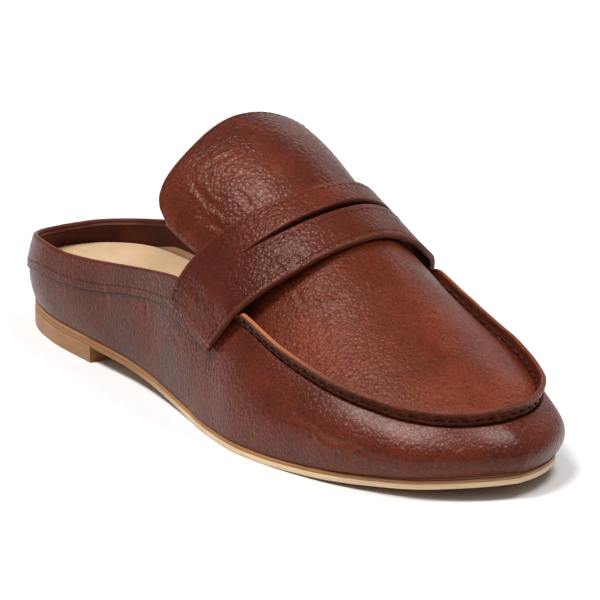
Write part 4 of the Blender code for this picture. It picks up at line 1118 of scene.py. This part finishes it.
# Tongue: a row just inside its side edges and its free end.
near, far = rowsLie["tongueSide"], tongueLook["columns"] - 1 - rowsLie["tongueSide"]
sideRows = np.arange(rowsLie["tongueEnd"], int(tongueLook["rows"] * rowsLie["tongueReach"]))
edgeLine = [(r, near) for r in sideRows[::-1]]
edgeLine += [(rowsLie["tongueEnd"], c) for c in range(near + 1, far)]
edgeLine += [(r, far) for r in sideRows]
lineRows, lineColumns = np.array(edgeLine).T
tonguePaths = [(tongueGrid[lineRows, lineColumns], tongueNormals[lineRows, lineColumns])]
tongueStitches = stitches("tongueStitches", tonguePaths, tongueThread, threadFinish)

# Each piece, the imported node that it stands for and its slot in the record.
pieces = [
    (quarters, "upper", "upper_leather"),
    (apron, "upper", "upper_leather"),
    (raisedSeam, "upper", "upper_leather"),
    (tongueLeather, "tongue", "upper_leather"),
    (saddle, "saddle_strap", "upper_leather"),
    (sock, "insole", "sock_leather"),
    (soleLeather, "outsole", "sole_leather"),
    (heelLift, "heel_block", "sole_leather"),
]
for row in (seamStitches, bandStitches, rimStitches, strapStitches, hemStitches, tongueStitches):
    pieces.append((row, None, "upper_leather"))
for obj, node, finish in pieces:
    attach(obj, "root")
    if node:
        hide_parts(node)
print("placed", len(pieces), "pieces on the body")

stage = {"floorReach": 14.0, "world": 0.27, "aim": (0, 0, 0.04)}


def paleFloor():
    made, shader, where = newFinish("pale floor")
    tone = noise(where, 0.4, 3.0).ramp(0.3, 0.7).tones((0.86, 0.86, 0.86, 1), (0.9, 0.9, 0.9, 1))
    height = {"Height": noise(where, 0.002), "Strength": 0.05, "Distance": 0.0002}
    bump = where.node("ShaderNodeBump", {}, height)
    connect(shader, {"Base Color": tone, "Roughness": 0.8, "Normal": bump, "Specular IOR Level": 0.2})
    return made


floorMesh = bpy.data.meshes.new("floor")
reach = stage["floorReach"]
floorMesh.from_pydata([(-reach, -reach, 0), (reach, -reach, 0), (reach, reach, 0), (-reach, reach, 0)],
                      [], [(0, 1, 2, 3)])
floorMesh.materials.append(paleFloor())
floor = placed("floor", floorMesh)

world = bpy.data.worlds.new("studio")
world.use_nodes = True
background = world.node_tree.nodes["Background"]
background.inputs["Color"].default_value = (1.0, 1.0, 1.0, 1)
background.inputs["Strength"].default_value = stage["world"]
bpy.context.scene.world = world
softLights = [  # name, place, size and power
    ("back", (-0.85, 1.2, 0.55), (1.0, 0.5), 1.5),
    ("toeLight", (0.19, 0.075, 0.32), (0.08, 0.08), 0.5),
]
suns = [  # name, direction of travel, strength and spread in degrees
    ("key", (0.20, 0.41, -0.89), 1.45, 18),
    ("front", (0.03, 0.33, -0.94), 1.65, 16),
    ("second", (-0.24, -0.28, -0.92), 0.25, 12),
]


def pointed(obj, direction):
    obj.rotation_euler = direction.to_track_quat("-Z", "Y").to_euler()


for name, place, size, watts in softLights:
    lamp = bpy.data.lights.new(name, "AREA")
    lamp.shape = "RECTANGLE"
    lamp.size, lamp.size_y = size
    lamp.energy = watts
    obj = placed(name, lamp)
    obj.location = place
    pointed(obj, Vector(stage["aim"]) - Vector(place))
for name, travel, strength, spread in suns:
    lamp = bpy.data.lights.new(name, "SUN")
    lamp.energy = strength
    lamp.angle = math.radians(spread)
    pointed(placed(name, lamp), Vector(travel))

# The camera that was fitted to the photo: aim is the pixel that comes to the middle, closer the zoom.
view = {"place": (2.01205, -1.35825, 0.7575), "forward": (-0.783, 0.555, -0.280), "focalPixels": 5386,
        "aim": (201, 332), "closer": 1.45, "sensor": 36.0, "picture": 600}
forward = Vector(view["forward"]).normalized()
right = forward.cross(Vector((0, 0, 1))).normalized()
up = right.cross(forward)
aimRight, aimDown = view["aim"][0] - view["picture"] / 2, view["aim"][1] - view["picture"] / 2
aim = forward * view["focalPixels"] + right * aimRight - up * aimDown
cameraData = bpy.data.cameras.new("camera")
cameraData.sensor_width = view["sensor"]
cameraData.lens = view["focalPixels"] * view["sensor"] / view["picture"] * view["closer"]
cameraData.clip_end = 60
camera = placed("camera", cameraData)
camera.location = view["place"]
pointed(camera, aim)
bpy.context.scene.camera = camera
bpy.context.scene.view_settings.view_transform = "Standard"

bpy.context.view_layer.update()
